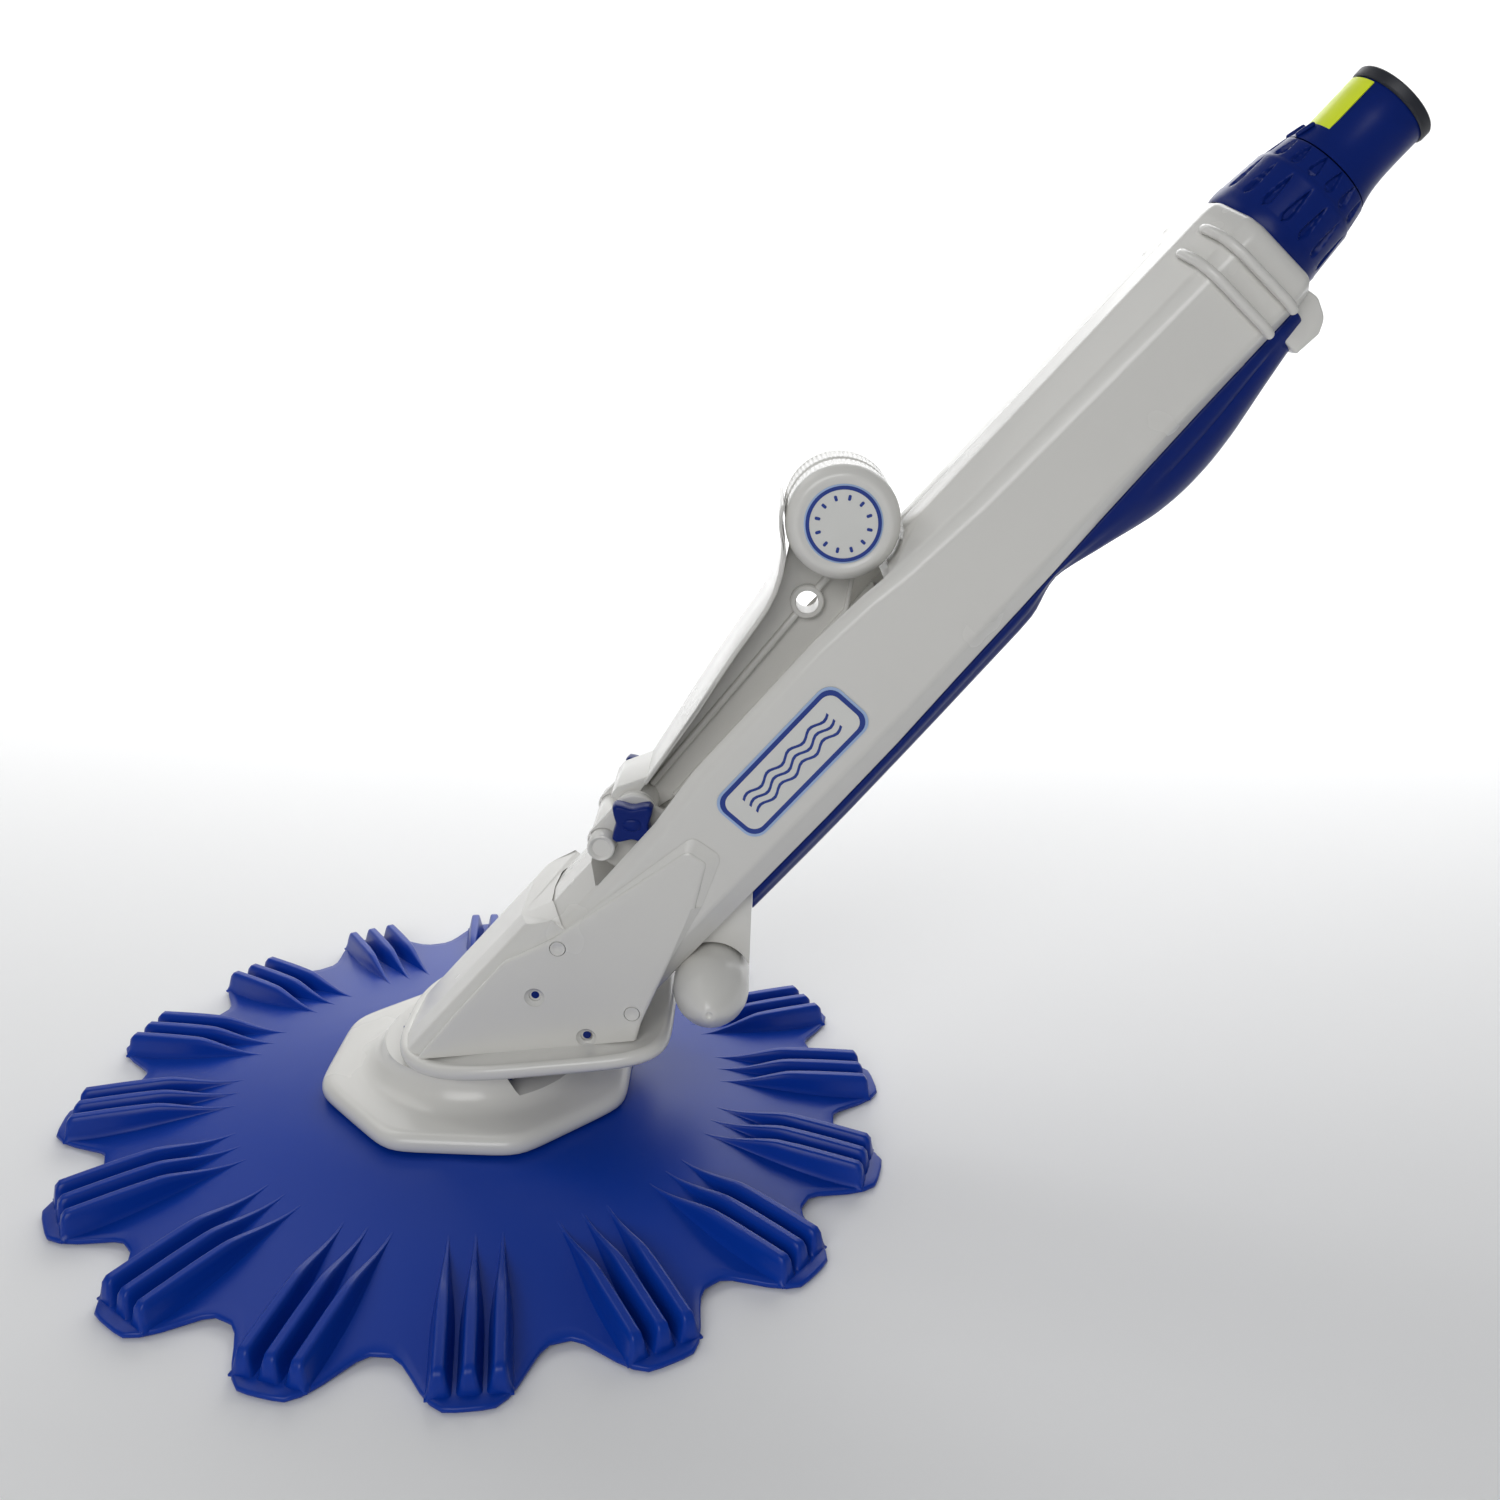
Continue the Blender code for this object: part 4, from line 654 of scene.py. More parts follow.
CASING_HALF = 0.043
CROWN = 0.031
RECESS_START = 0.157
RECESS_END = 0.357
RECESS_FLOOR = 0.014
RECESS_HALF = 0.0386
SEAM = 0.00015
OUTLET_BORE = 0.0204
HOOD_END = 0.130
HOOD_SLOPE = 1.9
PANEL = 0.0027
WHEEL_WELL = 0.0285
GAP = 0.0003


def collar_cutter():
    """Return a block that holds all below the lip's top face, in the tube frame."""
    shape = block((-0.3, -0.3, -0.3), (0.3, 0.3, GAP))
    shape.transform(TUBE.inverted() @ COLLAR_PLACE @ Matrix.Rotation(-COLLAR_TILT, 4, "Y"))
    return shape


# the casing's side face, from its upper to its lower edge, and its underside, as (station, height)
SIDE_TOP = ((0, 0.0180), (0.130, 0.0180), (0.200, 0.0195), (0.232, 0.0235), (0.315, 0.0245), (0.345, 0.0225),
            (0.366, 0.0195), (0.410, 0.0165), (0.520, 0.0145), (0.6, 0.0140))
SIDE_LOW = ((0, -0.0240), (0.295, -0.0235), (0.382, -0.0215), (0.473, -0.0190), (0.6, -0.0180))
UNDER = ((0, -0.0370), (0.254, -0.0360), (0.304, -0.0350), (0.347, -0.0330), (0.399, -0.0310),
         (0.439, -0.0288), (0.500, -0.0262), (0.556, -0.0245), (0.6, -0.0240))


def half_outline(sign, station=0.1, grow=0.0):
    """Return the casing's half section, which narrows slightly towards its upper end."""
    top, low, under = level(SIDE_TOP, station), level(SIDE_LOW, station), level(UNDER, station)
    corners = [
        (SEAM, CROWN + grow), (0.018 + grow / 3, 0.030 + grow), (0.0392 + grow, top + 0.0052 + grow / 2),
        (CASING_HALF + grow, top - 0.001), (CASING_HALF + grow, low), (0.031 + grow / 2, under - grow),
        (SEAM, under - grow),
    ]
    outline = rounded(corners, [0, 0.010, 0.006, 0.006, 0.005, 0.004, 0], 6)
    return [(sign * y, z) for y, z in outline]


def casing_rows(sign):
    """Return the casing half's sections, the last of which round over and turn into the outlet's bore."""
    stations = [0.0, 0.100, 0.130, 0.160, 0.200, 0.216, 0.232, 0.254, 0.280, 0.304, 0.315, 0.330, 0.345,
                0.356, 0.366, 0.388, 0.410, 0.439, 0.473, 0.500, 0.530, 0.552]
    rows = [[(s, y, z) for y, z in half_outline(sign, s)] for s in stations]
    last = half_outline(sign, 0.560)
    rounding = ((0.5570, 0.999), (0.5600, 0.991), (0.5625, 0.972), (0.5643, 0.940), (0.5654, 0.895),
                (0.5660, 0.835), (0.5661, 0.770))
    rows += [[(s, y * share, z * share) for y, z in last] for s, share in rounding]
    count = len(last)
    bore = [pi / 2 - pi * k / (count - 1) for k in range(count)]
    for station in (0.5661, 0.5560):
        rows.append([(station, sign * max(SEAM, OUTLET_BORE * cos(a)), OUTLET_BORE * sin(a)) for a in bore])
    return rows


RAIL = ((0.0262, 0.0266), (0.0295, 0.0264), (0.0346, 0.0243), (0.0394, 0.0219), (0.0432, 0.0172),
        (0.0452, 0.0118), (0.0453, 0.004), (0.0453, -0.0150), (0.0444, -0.0184), (0.0424, -0.0206))
RAIL_STATIONS = (0.5385, 0.5515)
RAIL_RADIUS = 0.0022


def make_casing():
    """Make the casing's two halves, each with the recess for the arm, and the rails at their upper end."""
    wheel = TUBE.inverted() @ wheel_centre
    for name, sign in (("left", -1), ("right", 1)):
        recess = block((RECESS_START, -RECESS_HALF, RECESS_FLOOR), (RECESS_END, RECESS_HALF, 0.1))
        well = rod(WHEEL_WELL, -RECESS_HALF, RECESS_HALF, 96)
        well.transform(Matrix.Translation((wheel.x, 0, wheel.z)) @ Matrix.Rotation(pi / 2, 4, "X"))
        inlay = block((RECESS_START - 0.001, -0.0380, 0.0105), (RECESS_END - 0.002, 0.0380, 0.1))
        body = carve(skin(casing_rows(sign)), recess, well, inlay, collar_cutter())
        ease(body, 0.0014, 3, 40, lambda p: abs(p.y) > 0.0370 and p.z > 0.0145 and RECESS_START < p.x < 0.40)
        ease(body, 0.0010, 2, 40,
             lambda p: abs(p.y) < 0.0370 and p.z > 0.0145 and RECESS_START + 0.02 < p.x < 0.40)
        add(f"casing_half_{name}", body, TUBE, "casing", WHITE, [f"casing_{name}"], smooth=30)
        for number, station in enumerate(RAIL_STATIONS):
            rail = tube_along([(station, sign * y, z) for y, z in RAIL], RAIL_RADIUS)
            add(f"rail_{name}_{number + 1}", rail, TUBE, "casing", WHITE, smooth=60)


def tube_along(path, radius, count=14):
    """Return a round bar through the points, with domed ends."""
    points = [Vector(p) for p in path]
    rows = []
    for i, point in enumerate(points):
        ahead = (points[min(i + 1, len(points) - 1)] - points[max(i - 1, 0)]).normalized()
        side = ahead.cross(Vector((1, 0, 0))).normalized()
        lift = ahead.cross(side)
        rings = [(0.0, 1.0)]
        if i == 0:
            rings = [(-radius * sin(a), cos(a)) for a in (1.45, 1.1, 0.7, 0.35)] + rings
        if i == len(points) - 1:
            rings = rings + [(radius * sin(a), cos(a)) for a in (0.35, 0.7, 1.1, 1.45)]
        for shift, share in rings:
            centre = point + ahead * shift
            rows.append([
                centre + (side * cos(2 * pi * k / count) + lift * sin(2 * pi * k / count)) * radius * share
                for k in range(count)
            ])
    return skin(rows)


def make_cradle():
    """Make the recess's inlaid floor."""
    corners = [(-0.0377, 0.0112), (0.0377, 0.0112), (0.0377, 0.0137), (-0.0377, 0.0137)]
    floor = plate(rounded(corners, 0.0006, 2), RECESS_START + 0.0004, RECESS_END - 0.0125)
    add("cradle_floor", floor, TUBE_END, "casing", WHITE, ["arm_cradle"])


def make_hood():
    """Make the hood over the casing's front, whose far end slopes down to the recess."""
    outer = [(0, 0.0385), (0.021, 0.0383), (0.0385, 0.0355), (0.0436, 0.0280), (0.0436, 0.0170)]
    curve = rounded([(0, 0.0)] + outer, [0, 0, 0.020, 0.012, 0.007, 0], 7)[1:]
    inner = [(y, z + 0.0004) for y, z in half_outline(1, 0.1, GAP) if z > 0.0180][:-1]
    inner = [(0.0, CROWN + GAP)] + inner[1:]
    right = curve + inner[::-1]
    outline = right[:-1] + [(0.0, CROWN + GAP)] + [(-y, z) for y, z in right[::-1][1:-1]]
    hood = plate(outline, 0.0, HOOD_END)
    hood.transform(TUBE.inverted() @ TUBE_END)
    for vert in hood.verts:
        if vert.co.x > 0.1:
            vert.co.x -= HOOD_SLOPE * max(0.0, vert.co.z - 0.0290)
    hood = carve(hood, collar_cutter())
    ease(hood, 0.0032, 4, 25, lambda p: p.x > 0.100 and p.z > 0.0200)
    add("front_cap", hood, TUBE, "casing", WHITE, ["front_hood"], smooth=36)


PANEL_PINS = ((0.0935, 0.0095), (0.0935, -0.0235))
PANEL_PLUGS = ((0.1216, 0.0180), (0.1188, -0.0315))
PIN_SINK = ((0, 0.003), (0.0050, 0.003), (0.0047, 0.0024), (0.0030, 0.0010), (0.0026, -0.004), (0, -0.004))
PLUG = ((0, 0.0026), (0.0020, 0.0027), (0.0030, 0.0032), (0.0036, 0.0032), (0.0037, 0.0028), (0.0037, 0.0002),
        (0, 0.0002))


def make_panels():
    """Make the two side panels, mirrored, with their pin holes and plugs."""
    corners = [
        (0.0, 0.0300), (0.060, 0.0322), (0.098, 0.0325), (0.124, 0.0228), (0.2085, 0.0078), (0.2100, -0.0090),
        (0.185, -0.0190), (0.151, -0.0275), (0.1175, -0.0385), (0.095, -0.0500), (0.0, -0.0500),
    ]
    outline = rounded(corners[::-1], [0, 0.010, 0.02, 0.02, 0.02, 0.005, 0.005, 0.014, 0.014, 0.03, 0], 5)
    for name, side in SIDES:
        panel = plate(outline, CASING_HALF + GAP, CASING_HALF + GAP + PANEL)
        for vert in panel.verts:
            tip = (vert.co.x - 0.168) / 0.042
            if vert.co.z > CASING_HALF + 0.002 and tip > 0:
                vert.co.x -= 0.0065 * smoothstep(tip)
                vert.co.y *= 1 - 0.30 * smoothstep(tip)
        ease(panel, 0.0020, 4, 25, lambda p: p.z > CASING_HALF + 0.002)
        cutters = []
        for station, height in PANEL_PINS:
            cutters.append(moved(spun(PIN_SINK, 40), station, height, CASING_HALF))
        for station, height in PANEL_PLUGS:
            cutters.append(moved(rod(0.0040, -0.001, 0.004, 40), station, height, CASING_HALF))
        below = collar_cutter()
        below.transform(TUBE_SIDE.inverted() @ TUBE)
        panel = carve(panel, below, *cutters)
        if side < 0:
            bmesh.ops.scale(panel, verts=panel.verts, vec=(1, 1, -1))
            bmesh.ops.reverse_faces(panel, faces=panel.faces)
        add(f"cheek_{name}", panel, TUBE_SIDE, "casing", WHITE, [f"side_panel_{name}"], smooth=28)
        for number, (station, height) in enumerate(PANEL_PLUGS):
            plug = spun(PLUG, 40)
            spot = on_side(TUBE_SIDE @ Matrix.Translation((station, height, side * CASING_HALF)), side)
            add(f"plug_{name}_{number + 1}", plug, spot, "casing", WHITE, [f"panel_plug_{name}_{number + 1}"])


# ---- belly cover

COVER_START = 0.1398
COVER_END = 0.555
COVER_HALF = 0.0302
COVER_DEPTH = (
    (0.0, -0.0460), (0.193, -0.0460), (0.263, -0.0452), (0.327, -0.0437), (0.380, -0.0421),
    (0.391, -0.0412), (0.400, -0.0372), (0.408, -0.0352), (0.416, -0.0372), (0.432, -0.0424),
    (0.445, -0.0470), (0.458, -0.0510), (0.470, -0.0527), (0.480, -0.0530), (0.492, -0.0522),
    (0.505, -0.0500), (0.518, -0.0466), (0.530, -0.0434), (0.543, -0.0400), (0.556, -0.0370),
)


def make_cover():
    """Make the belly's shell: a thin strip, a waist, then a bulge with a groove along each side."""
    start = COVER_START + 0.023 * cos(LEAN)
    stations = [0.236 + 0.004 * k for k in range(80)]
    stations = [s for s in stations if s < COVER_END - 0.002] + [COVER_END]
    rows = []
    for index in range(-1, len(stations)):
        station = stations[max(index, 0)]
        top = level(UNDER, station) - GAP
        before, here, after = (level(COVER_DEPTH, station + shift) for shift in (-0.003, 0, 0.003))
        depth = (before + here + after) / 3
        drop = top - depth
        half = COVER_HALF
        belly_half = 0.0215 - 0.30 * max(0.0, drop - 0.012)
        groove = 0.0016 * smoothstep((station - 0.455) / 0.02) * smoothstep((0.548 - station) / 0.02)
        points = [
            (half, top), (half - 0.0003, top - 0.22 * drop),
            (half - 0.0009 - 0.4 * groove, top - 0.30 * drop),
            (half - 0.0016 - groove, top - 0.37 * drop), (half - 0.0026 - 0.4 * groove, top - 0.45 * drop),
            (half - 0.0042, top - 0.56 * drop), (0.5 * (half + belly_half) - 0.001, top - 0.72 * drop),
            (belly_half + 0.001, top - 0.87 * drop), (belly_half - 0.003, top - 0.945 * drop),
            (0.55 * belly_half, top - 0.985 * drop), (0.0, depth),
        ]
        loop = points + [(-y, z) for y, z in points[-2::-1]]
        loop += [(-half * 0.5, top), (half * 0.5, top)]
        if index < 0:
            rows.append([((start + z * cos(LEAN)) / sin(LEAN), y, z) for y, z in loop])
        else:
            rows.append([(station, y, z) for y, z in loop])
    shape = ease(skin(rows), 0.0014, 3, 55)
    add("belly_shell", shape, TUBE, "casing", NAVY, ["belly_cover"], smooth=40)


# ---- outlet, nut and hose tail

NUT_SLOTS = 16


def make_outlet():
    """Make the lobe under the casing's upper end and the neck that the nut turns on."""
    corners = [(0.5440, -0.0240), (0.5640, -0.0200), (0.5655, -0.0290), (0.5620, -0.0375), (0.5560, -0.0408),
               (0.5440, -0.0400)]
    tab = rounded(corners, [0.001, 0.003, 0.006, 0.008, 0.003, 0.001], 6)
    add("outlet_lobe", plate(tab[::-1], -0.0270, 0.0270, 0.0040, 4), TUBE_SIDE, "casing", WHITE, smooth=40)
    spigot = spun([(0.0200, 0.5895), (0.0200, 0.5600), (0.0160, 0.5600), (0.0160, 0.5895)], 64)
    add("outlet_neck", spigot, TUBE_END, "casing", WHITE, ["outlet_collar"])


def make_nut():
    """Make the nut: a stout lower band and a tapering upper one, each with a row of teardrop pockets."""
    count = NUT_SLOTS * 20
    turns = [2 * pi * i / count for i in range(count)]
    outside = [(0.5666, 0.0262), (0.5667, 0.0274), (0.5675, 0.0279), (0.5700, 0.0281), (0.5735, 0.0280)]
    outside += [(0.5745 + 0.0009 * k, 0.0277 - 0.00010 * k) for k in range(19)]
    outside += [(0.5918, 0.0258), (0.5930, 0.0257), (0.5940, 0.0254), (0.5947, 0.0250)]
    outside += [(0.5953 + 0.0008 * k, 0.0247 - 0.00018 * k) for k in range(13)]
    outside += [(0.6056, 0.0221)]
    inside = [(0.6058, 0.0193), (0.5972, 0.0193), (0.5972, 0.0234), (0.5896, 0.0234), (0.5896, 0.0204),
              (0.5666, 0.0204)]

    def pocket(turn, station, first, last, half_turn, depth):
        """Return how deep a teardrop pocket is here: round at its lower end and pointed at its top."""
        middle = (turn / (2 * pi) * NUT_SLOTS) % 1 - 0.5
        t = (station - first) / (last - first)
        if not 0 <= t <= 1:
            return 0.0
        width = half_turn * min(1.0, (t / 0.16) ** 0.5 if t < 0.16 else (1 - t) ** 0.55 * 1.12)
        if width <= 0:
            return 0.0
        return depth * smoothstep((width - abs(middle)) / 0.09)

    rows = []
    for station, radius in outside:
        row = []
        for turn in turns:
            sink = pocket(turn, station, 0.5752, 0.5912, 0.21, 0.0018)
            sink += pocket(turn + pi / NUT_SLOTS, station, 0.5958, 0.6052, 0.27, 0.0017)
            r = radius - sink
            row.append((r * cos(turn), r * sin(turn), station))
        rows.append(row)
    for station, radius in inside:
        rows.append([(radius * cos(turn), radius * sin(turn), station) for turn in turns])
    add("nut", skin(rows, loop=True), TUBE_END, "casing", NAVY, ["swivel_nut"], smooth=45)


def make_tail():
    """Make the hose tail with its end ring, label and two small ridges."""
    bore = 0.0160
    flare = [(0.0218, 0.6063), (0.0217, 0.6068), (0.0211, 0.6085), (0.0205, 0.6105), (0.0199, 0.6130),
             (0.0194, 0.6160), (0.0190, 0.6200), (0.0188, 0.6240)]
    outline = [(bore, TAIL_END), (0.0184, TAIL_END), (0.0187, TAIL_END - 0.0004), (0.0187, 0.6290)]
    outline += flare[::-1]
    outline += [(0.0186, 0.6062), (0.0186, 0.5970), (0.0230, 0.5970), (0.0230, 0.5912), (bore, 0.5912)]
    add("hose_spout", spun(outline, 96), TUBE_END, "hose_tail", NAVY, ["hose_tail"])
    seal = [(0.0189, TAIL_END), (0.0193, TAIL_END), (0.0198, TAIL_END - 0.0006), (0.0198, TAIL_END - 0.0038),
            (0.0196, TAIL_END - 0.0046), (0.0192, TAIL_END - 0.0050), (0.0189, TAIL_END - 0.0050)]
    add("spout_ring", spun(seal, 96), TUBE_END, "hose_tail", BLACK, ["hose_seal_ring"])
    half_turn = 0.0078 / 0.0190
    middle = 0.31
    turns = [pi / 2 + middle - half_turn + 2 * half_turn * k / 14 for k in range(15)]
    label = [(r * cos(a), r * sin(a)) for r, order in ((0.0190, turns), (0.0196, turns[::-1])) for a in order]
    add("spout_label", plate(label, 0.6150, 0.6392, 0.0002, 1), TUBE_END, "hose_tail", YELLOW, ["hose_label"])
    for number, shift in enumerate((-0.0056, 0.0056)):
        path = [(0.6075, shift, 0.0213), (0.6110, shift, 0.0204), (0.6140, shift, 0.0196)]
        ridge = tube_along(path, 0.0011, 10)
        add(f"spout_ridge_{number + 1}", ridge, TUBE, "hose_tail", NAVY, smooth=60)


# ---- arm, wheels, knobs and saddle


WEB_HALF = 0.0030
WALL_HALF = 0.0288
WALL = 0.0022
HUB_BORE = 0.0034


def make_arm():
    """Make the arm: a web with a window, a wall along its front, a heel, a spine and a hub."""
    outline = (
        [(0.0, -0.010), (0.012, -0.0145), (0.136, -0.0295), (reach - 0.014, -0.0195)]
        + arc((reach, 0), 0.0240, -0.62 * pi, 0.62 * pi, 28)
        + [(0.148, 0.0120), (0.134, 0.0062), (0.120, 0.0052), (0.097, 0.0058), (0.060, 0.0046)]
        + [(0.016, 0.0036)]
    )
    web = plate(outline, -WEB_HALF, WEB_HALF, 0.0010, 3)
    window = Vector((0.1295, -0.0106))
    hole = moved(rod(0.0053, -0.02, 0.02), *window, 0)
    web = carve(web, hole, rod(HUB_BORE, -0.02, 0.02))
    add("arm_web", web, ARM, "arm", WHITE, ["bumper_arm"], smooth=32)

    front = [(0.0140, 0.0050), (0.035, 0.0054), (0.060, 0.0060), (0.080, 0.0067), (0.097, 0.0070),
             (0.110, 0.0068), (0.120, 0.0070), (0.128, 0.0082), (0.136, 0.0108), (0.143, 0.0142)]
    back = [(x + 0.06 * max(0.0, x - 0.12), y - WALL) for x, y in front]
    front += arc((reach, 0), 0.0288, 0.79 * pi, 0.60 * pi, 9)
    back += arc((reach, 0), 0.0271, 0.79 * pi, 0.60 * pi, 9)
    wall = plate((front + back[::-1])[::-1], -WALL_HALF, WALL_HALF)
    for vert in wall.verts:
        vert.co.z *= 1 - 0.30 * (1 - smoothstep((vert.co.x - 0.014) / 0.045))
    ease(wall, 0.0009, 3, 40)
    add("arm_wall", wall, ARM, "arm", WHITE, smooth=32)
    corners = [(0.0, 0.0035), (0.0180, 0.0035), (0.0185, 0.0048), (0.0050, 0.0140), (-0.0010, 0.0143)]
    heel = rounded(corners, [0, 0.0005, 0.003, 0.004, 0.001], 4)
    add("arm_heel", plate(heel, -0.0193, 0.0193, 0.0015, 3), ARM, "arm", WHITE)

    spine = window.normalized()
    side = Vector((-spine.y, spine.x))
    lower = (spine * 0.011, window - spine * 0.0068)
    upper = (window + spine * 0.0068, window + spine * 0.0200)
    for number, (start, end) in enumerate((lower, upper)):
        bar = [start - side * 0.0016, end - side * 0.0016, end + side * 0.0016, start + side * 0.0016]
        shape = plate([tuple(p) for p in bar], -0.0072, 0.0072)
        ease(shape, 0.0011, 3, 40)
        add(f"arm_spine_{number + 1}", shape, ARM, "arm", WHITE)
    lower = [(0.012, -0.0145), (0.136, -0.0295), (reach - 0.016, -0.0205)]
    upper = [(x, y + rise) for (x, y), rise in zip(lower, (0.0024, 0.0024, 0.0022))]
    shape = plate(lower + upper[::-1], -0.0062, 0.0062)
    ease(shape, 0.0010, 3, 25)
    add("arm_foot_rib", shape, ARM, "arm", WHITE)
    ring = spun([(0.0053, 0.0072), (0.0056, 0.0075), (0.0074, 0.0075), (0.0080, 0.0069), (0.0081, -0.0069),
                 (0.0074, -0.0075), (0.0056, -0.0075), (0.0053, -0.0072)], 64)
    add("arm_ring", moved(ring, *window, 0), ARM, "arm", WHITE)
    hub = spun([(HUB_BORE, 0.0204), (0.0095, 0.0204), (0.0105, 0.0194), (0.0105, -0.0194), (0.0095, -0.0204),
                (HUB_BORE, -0.0204)], 64)
    add("arm_hub", hub, ARM, "arm", WHITE)


TREAD_RIBS = 72
TREAD_DEPTH = 0.00045
CAP_TICKS = 12


def make_wheels():
    """Make the two wheels with their fine tread and their caps' printed rings."""
    count = TREAD_RIBS * 6
    turns = [2 * pi * i / count for i in range(count)]
    outside = [(0.0036, 0.0245, 0), (0.0040, 0.0252, 0), (0.0048, 0.0256, 0.4), (0.0056, 0.0257, 1)]
    outside += [(0.0080, 0.0257, 1), (0.0130, 0.0258, 1), (0.0180, 0.0258, 1), (0.0205, 0.0258, 1)]
    outside += [(0.0213, 0.0259, 0.4), (0.0220, 0.0260, 0), (0.0242, 0.0260, 0), (0.0258, 0.0257, 0)]
    outside += [(0.0272, 0.0249, 0), (0.0284, 0.0238, 0), (0.0293, 0.0227, 0), (0.0298, 0.0219, 0)]
    outside += [(0.0300, 0.0208, 0), (0.0299, 0.0195, 0), (0.0296, 0.0189, 0), (0.0295, 0.0180, 0)]
    inside = [(0.0295, 0.0043, 0), (0.0036, 0.0043, 0)]
    for name, sign in SIDES:
        rows = []
        for z, r, share in outside + inside:
            radii = [r - share * TREAD_DEPTH * (0.5 - 0.5 * cos(TREAD_RIBS * a)) for a in turns]
            rows.append([(radius * cos(a), radius * sin(a), z) for radius, a in zip(radii, turns)])
        place = on_side(WHEEL, sign)
        body = f"wheel_{name}"
        add(f"tread_{name}", skin(rows, loop=True), place, body, WHITE, [f"bumper_wheel_{name}"], smooth=50)
        halo = spun([(0.0165, 0.0302), (0.0172, 0.0301), (0.0177, 0.0297), (0.0165, 0.0297)], 96)
        add(f"wheel_halo_{name}", halo, place, body, PALE, smooth=60)
        line = spun([(0.0153, 0.0304), (0.0169, 0.0304), (0.0170, 0.0302), (0.0170, 0.0298),
                     (0.0153, 0.0298)], 96)
        add(f"wheel_ring_{name}", line, place, body, INK)
        field = spun([(0, 0.0302), (0.0154, 0.0302), (0.0154, 0.0296), (0, 0.0296)], 96)
        add(f"wheel_field_{name}", field, place, body, FIELD, [f"wheel_cap_{name}"])
        ticks = bmesh.new()
        corners = [(0.0106, -0.0007), (0.0132, -0.0007), (0.0132, 0.0007), (0.0106, 0.0007)]
        for k in range(CAP_TICKS):
            tick = plate(rounded(corners, 0.0006, 3), 0.0299, 0.0304)
            tick.transform(Matrix.Rotation(2 * pi * k / CAP_TICKS, 4, "Z"))
            ticks = joined(ticks, tick)
        add(f"wheel_ticks_{name}", ticks, place, body, INK)


def make_knobs():
    """Make the two thumb nuts: square, with hollowed sides, and a raised middle."""
    count = 64
    levels = ((0.0271, 0.72, 0), (0.0275, 0.76, 0), (0.0296, 0.78, 0.2), (0.0302, 0.93, 1), (0.0306, 0.98, 1),
              (0.0314, 1.0, 1), (0.0352, 0.985, 1), (0.0370, 0.965, 1), (0.0378, 0.93, 1), (0.0384, 0.87, 1),
              (0.0386, 0.80, 1), (0.0384, 0.60, 0.8), (0.0382, 0.35, 0.5))

    def outline(turn, share, square):
        c, s = cos(turn), sin(turn)
        box_radius = 0.0098 / max(abs(c), abs(s))
        corner = min(box_radius, 0.0127)
        dip = 0.0017 * cos(2 * turn) ** 2 * (1 if square else 0)
        radius = (corner - dip) * square + 0.0090 * (1 - square)
        return share * radius * c, share * radius * s

    for name, sign in SIDES:
        rows = []
        for z, share, square in levels:
            rows.append([(*outline(2 * pi * k / count, share, square), z) for k in range(count)])
        place = on_side(in_side(pivot) @ Matrix.Rotation(LEAN - pi / 2, 4, "Z"), sign)
        add(f"knob_{name}", skin(rows), place, f"knob_{name}", NAVY, [f"arm_knob_{name}"], smooth=34)
        bump = spun([(0, 0.0392), (0.0022, 0.0391), (0.0036, 0.0387), (0.0041, 0.0381), (0.0041, 0.0376),
                     (0, 0.0376)], 48)
        bmesh.ops.scale(bump, verts=bump.verts, vec=(1.15, 0.80, 1))
        add(f"knob_thumb_{name}", bump, place, f"knob_{name}", NAVY)


EAR_INNER = 0.0210
EAR_OUTER = 0.0260
PIN_RADIUS = 0.0068


def make_saddle():
    """Make the saddle's two ears and seat, and the pin that stops the arm."""
    low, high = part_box("stop_pin")
    stop = TUBE.inverted() @ ((low + high) / 2)
    hub = TUBE.inverted() @ pivot
    base = RECESS_FLOOR + GAP
    ear = [(stop.x - 0.0060, base), (hub.x + 0.0130, base)]
    ear += arc((hub.x, hub.z), 0.0110, -0.15 * pi, 0.62 * pi, 14)
    ear += arc((stop.x, stop.z), 0.0078, 0.52 * pi, 1.05 * pi, 8)
    holes = [moved(rod(PIN_RADIUS + GAP, -0.05, 0.05), stop.x, stop.z, 0)]
    holes.append(moved(rod(0.0033, -0.05, 0.05), hub.x, hub.z, 0))
    ears = joined(plate(ear, EAR_INNER, EAR_OUTER, 0.0014, 3), plate(ear, -EAR_OUTER, -EAR_INNER, 0.0014, 3))
    add("pivot_ears", carve(ears, *holes), TUBE_SIDE, "casing", WHITE, ["pivot_saddle"], smooth=32)
    start, end, half = stop.x - 0.012, hub.x + 0.016, 0.0365
    corners = [(start, -half), (end, -half), (end, half), (start, half)]
    seat = plate(rounded(corners, 0.004, 5), base, base + 0.0028, 0.0010, 2)
    add("pivot_seat", seat, TUBE, "casing", WHITE)
    half = (high.y - low.y) / 2
    profile = [(0, half - 0.0014), (0.0042, half - 0.0012), (0.0050, half - 0.0004), (0.0058, half),
               (0.0064, half - 0.0003), (PIN_RADIUS, half - 0.0012)]
    profile += [(r, -z) for r, z in profile[::-1]]
    add("cross_pin", spun(profile, 64), in_side((low + high) / 2), "casing", WHITE, ["stop_pin"])


# ---- rear bracket and rollers


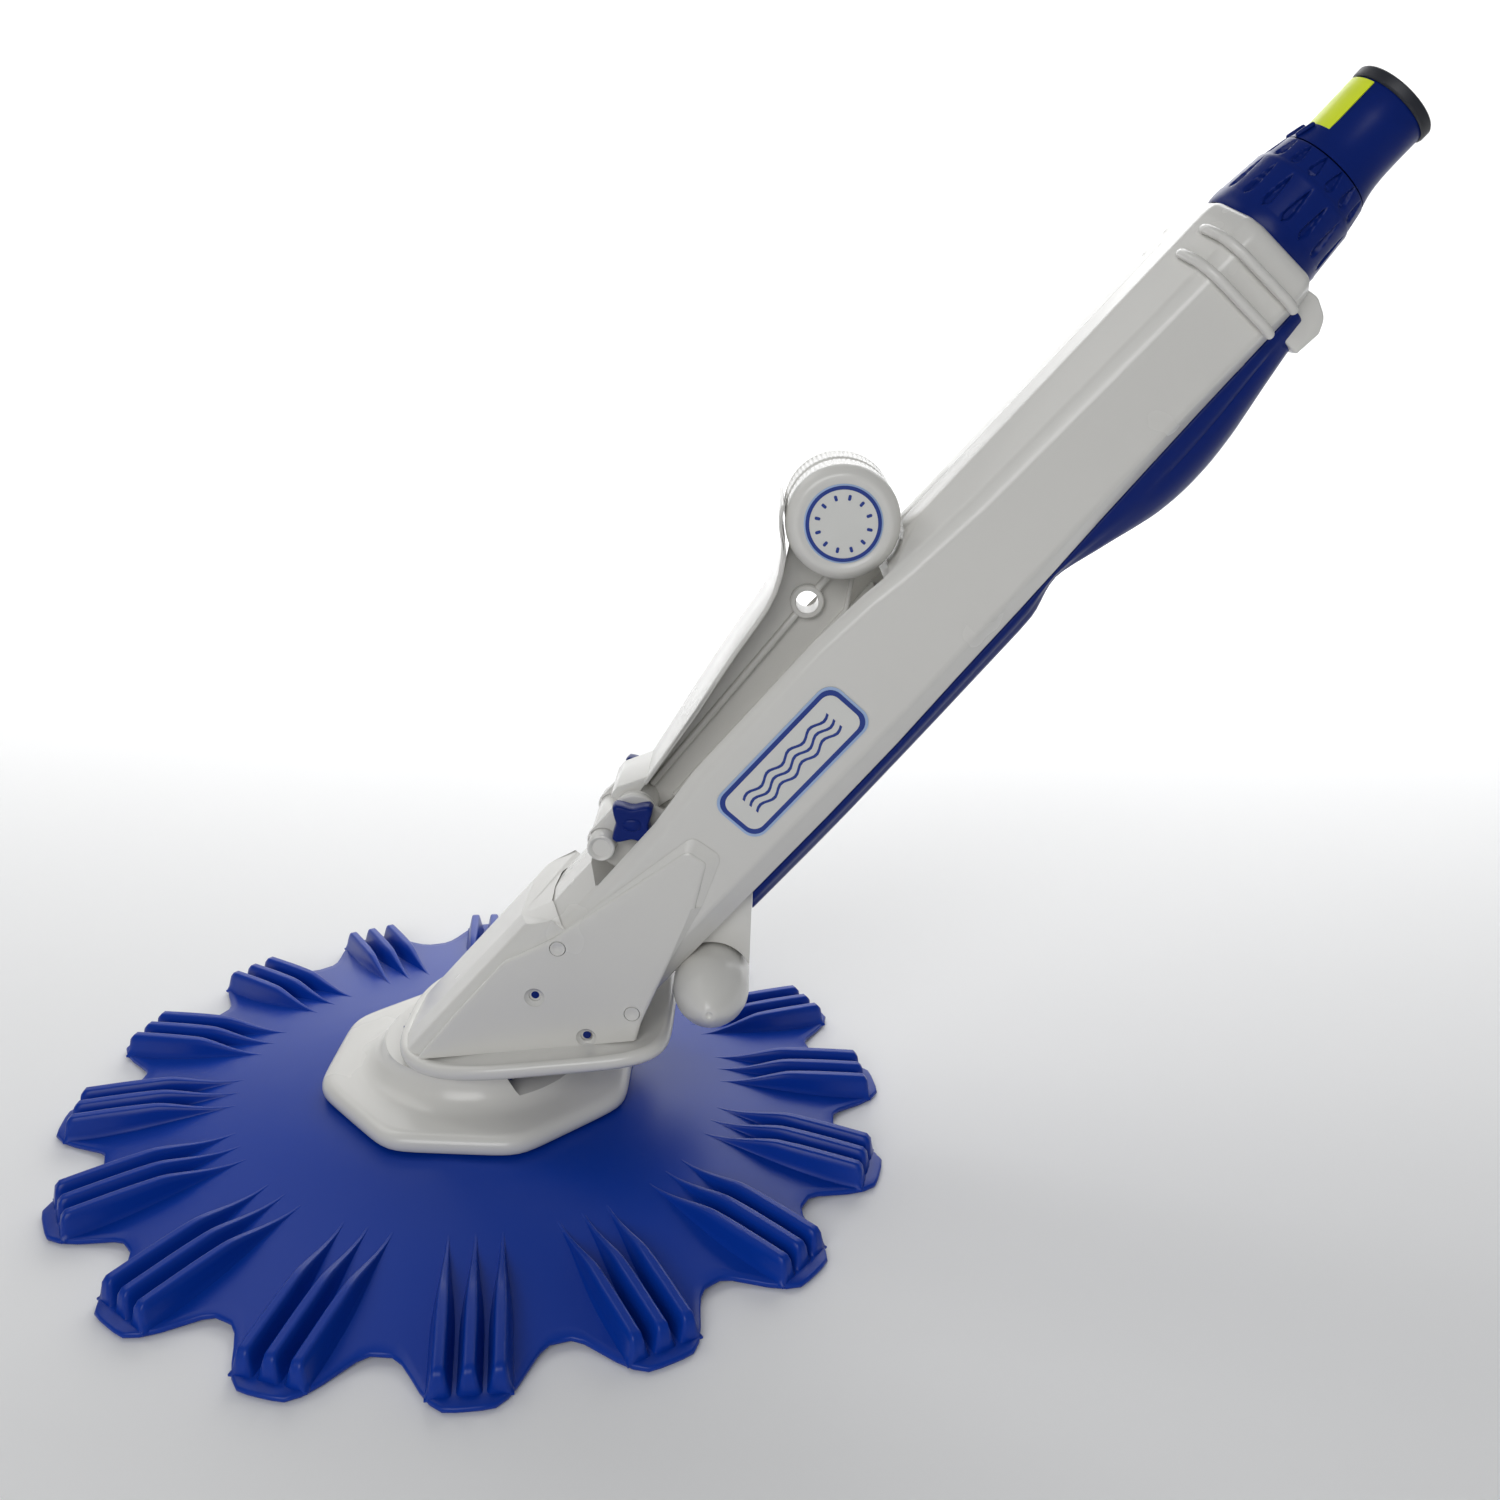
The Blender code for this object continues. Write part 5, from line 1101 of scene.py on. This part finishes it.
def make_rear():
    """Make the rear bracket and the two domed rollers beside it."""
    bracket = refined("roller_bracket", 0.0018, 3, 40)
    add("roller_fork", bracket, Matrix(), "casing", WHITE, ["roller_bracket"], smooth=32)
    profile = [
        (0, 0.0604), (0.0008, 0.0603), (0.0013, 0.0606), (0.0018, 0.0610), (0.0028, 0.0609), (0.0040, 0.0603),
        (0.0072, 0.0575), (0.0112, 0.0528), (0.0148, 0.0472), (0.0172, 0.0420), (0.0183, 0.0380),
        (0.0187, 0.0345), (0.0187, 0.0116), (0.0184, 0.0109), (0.0176, 0.0106), (0.0033, 0.0106),
        (0.0033, 0.0443), (0, 0.0443),
    ]
    for name, sign in SIDES:
        place = on_side(in_side(roller_centre), sign)
        add(f"roller_dome_{name}", spun(profile, 72), place, f"roller_{name}", WHITE, [f"rear_roller_{name}"],
            smooth=40)


# ---- badges


def make_badges():
    """Make the side badges: a pale edge, a blue line, a field and three plain waves."""
    centre = (0.2668, -0.0018)
    half_length, half_width = 0.0405, 0.0143
    inner = CASING_HALF + GAP
    layers = (("halo", 0.0, 0.0, 0.00030, PALE), ("line", 0.0012, 0.0, 0.00045, INK),
              ("field", 0.0034, 0.0, 0.00060, FIELD))
    for name, sign in SIDES:
        place = TUBE_SIDE
        if sign < 0:
            place = TUBE_SIDE @ Matrix.Translation((2 * centre[0], 0, 0)) @ Matrix.Rotation(pi, 4, "Y")
        for layer, inset, low, high, look in layers:
            x, y, corner = half_length - inset, half_width - inset, 0.0075 - 0.6 * inset
            outline = rounded([(centre[0] - x, centre[1] - y), (centre[0] + x, centre[1] - y),
                               (centre[0] + x, centre[1] + y), (centre[0] - x, centre[1] + y)], corner, 8)
            stands = [f"badge_{name}"] if layer == "field" else ()
            add(f"badge_{layer}_{name}", plate(outline, inner, inner + high), place, "casing", look, stands)
        for number, height in enumerate((-0.0042, 0.0, 0.0042)):
            wave = [(-0.0285 + 0.0019 * k, height + 0.0013 * sin(2 * pi * k / 7.5)) for k in range(31)]
            band = [(centre[0] + x, centre[1] + y - 0.0007) for x, y in wave]
            band += [(centre[0] + x, centre[1] + y + 0.0007) for x, y in wave[::-1]]
            add(f"badge_wave_{name}_{number + 1}", plate(band, inner, inner + 0.00075), place, "casing", INK)


# ---- the whole cleaner

set_camera()
set_studio()
make_disc()
make_foot()
make_lip()
make_casing()
make_cradle()
make_hood()
make_panels()
make_cover()
make_outlet()
make_nut()
make_tail()
make_arm()
make_wheels()
make_knobs()
make_saddle()
make_rear()
make_badges()
repaint(NAVY, "neck_liner", "flapper_pin", "throat_pin", "throat")
repaint(WHITE, "inner_pipe_left", "inner_pipe_right", "pipe_bulkhead_lower", "pipe_bulkhead_upper")
repaint(BLACK, "sole_ring", "flapper_left", "flapper_right", "swivel_washer")
repaint(STEEL, "arm_bolt", "wheel_axle", "roller_axle")
repaint(FOAM, "float_block")
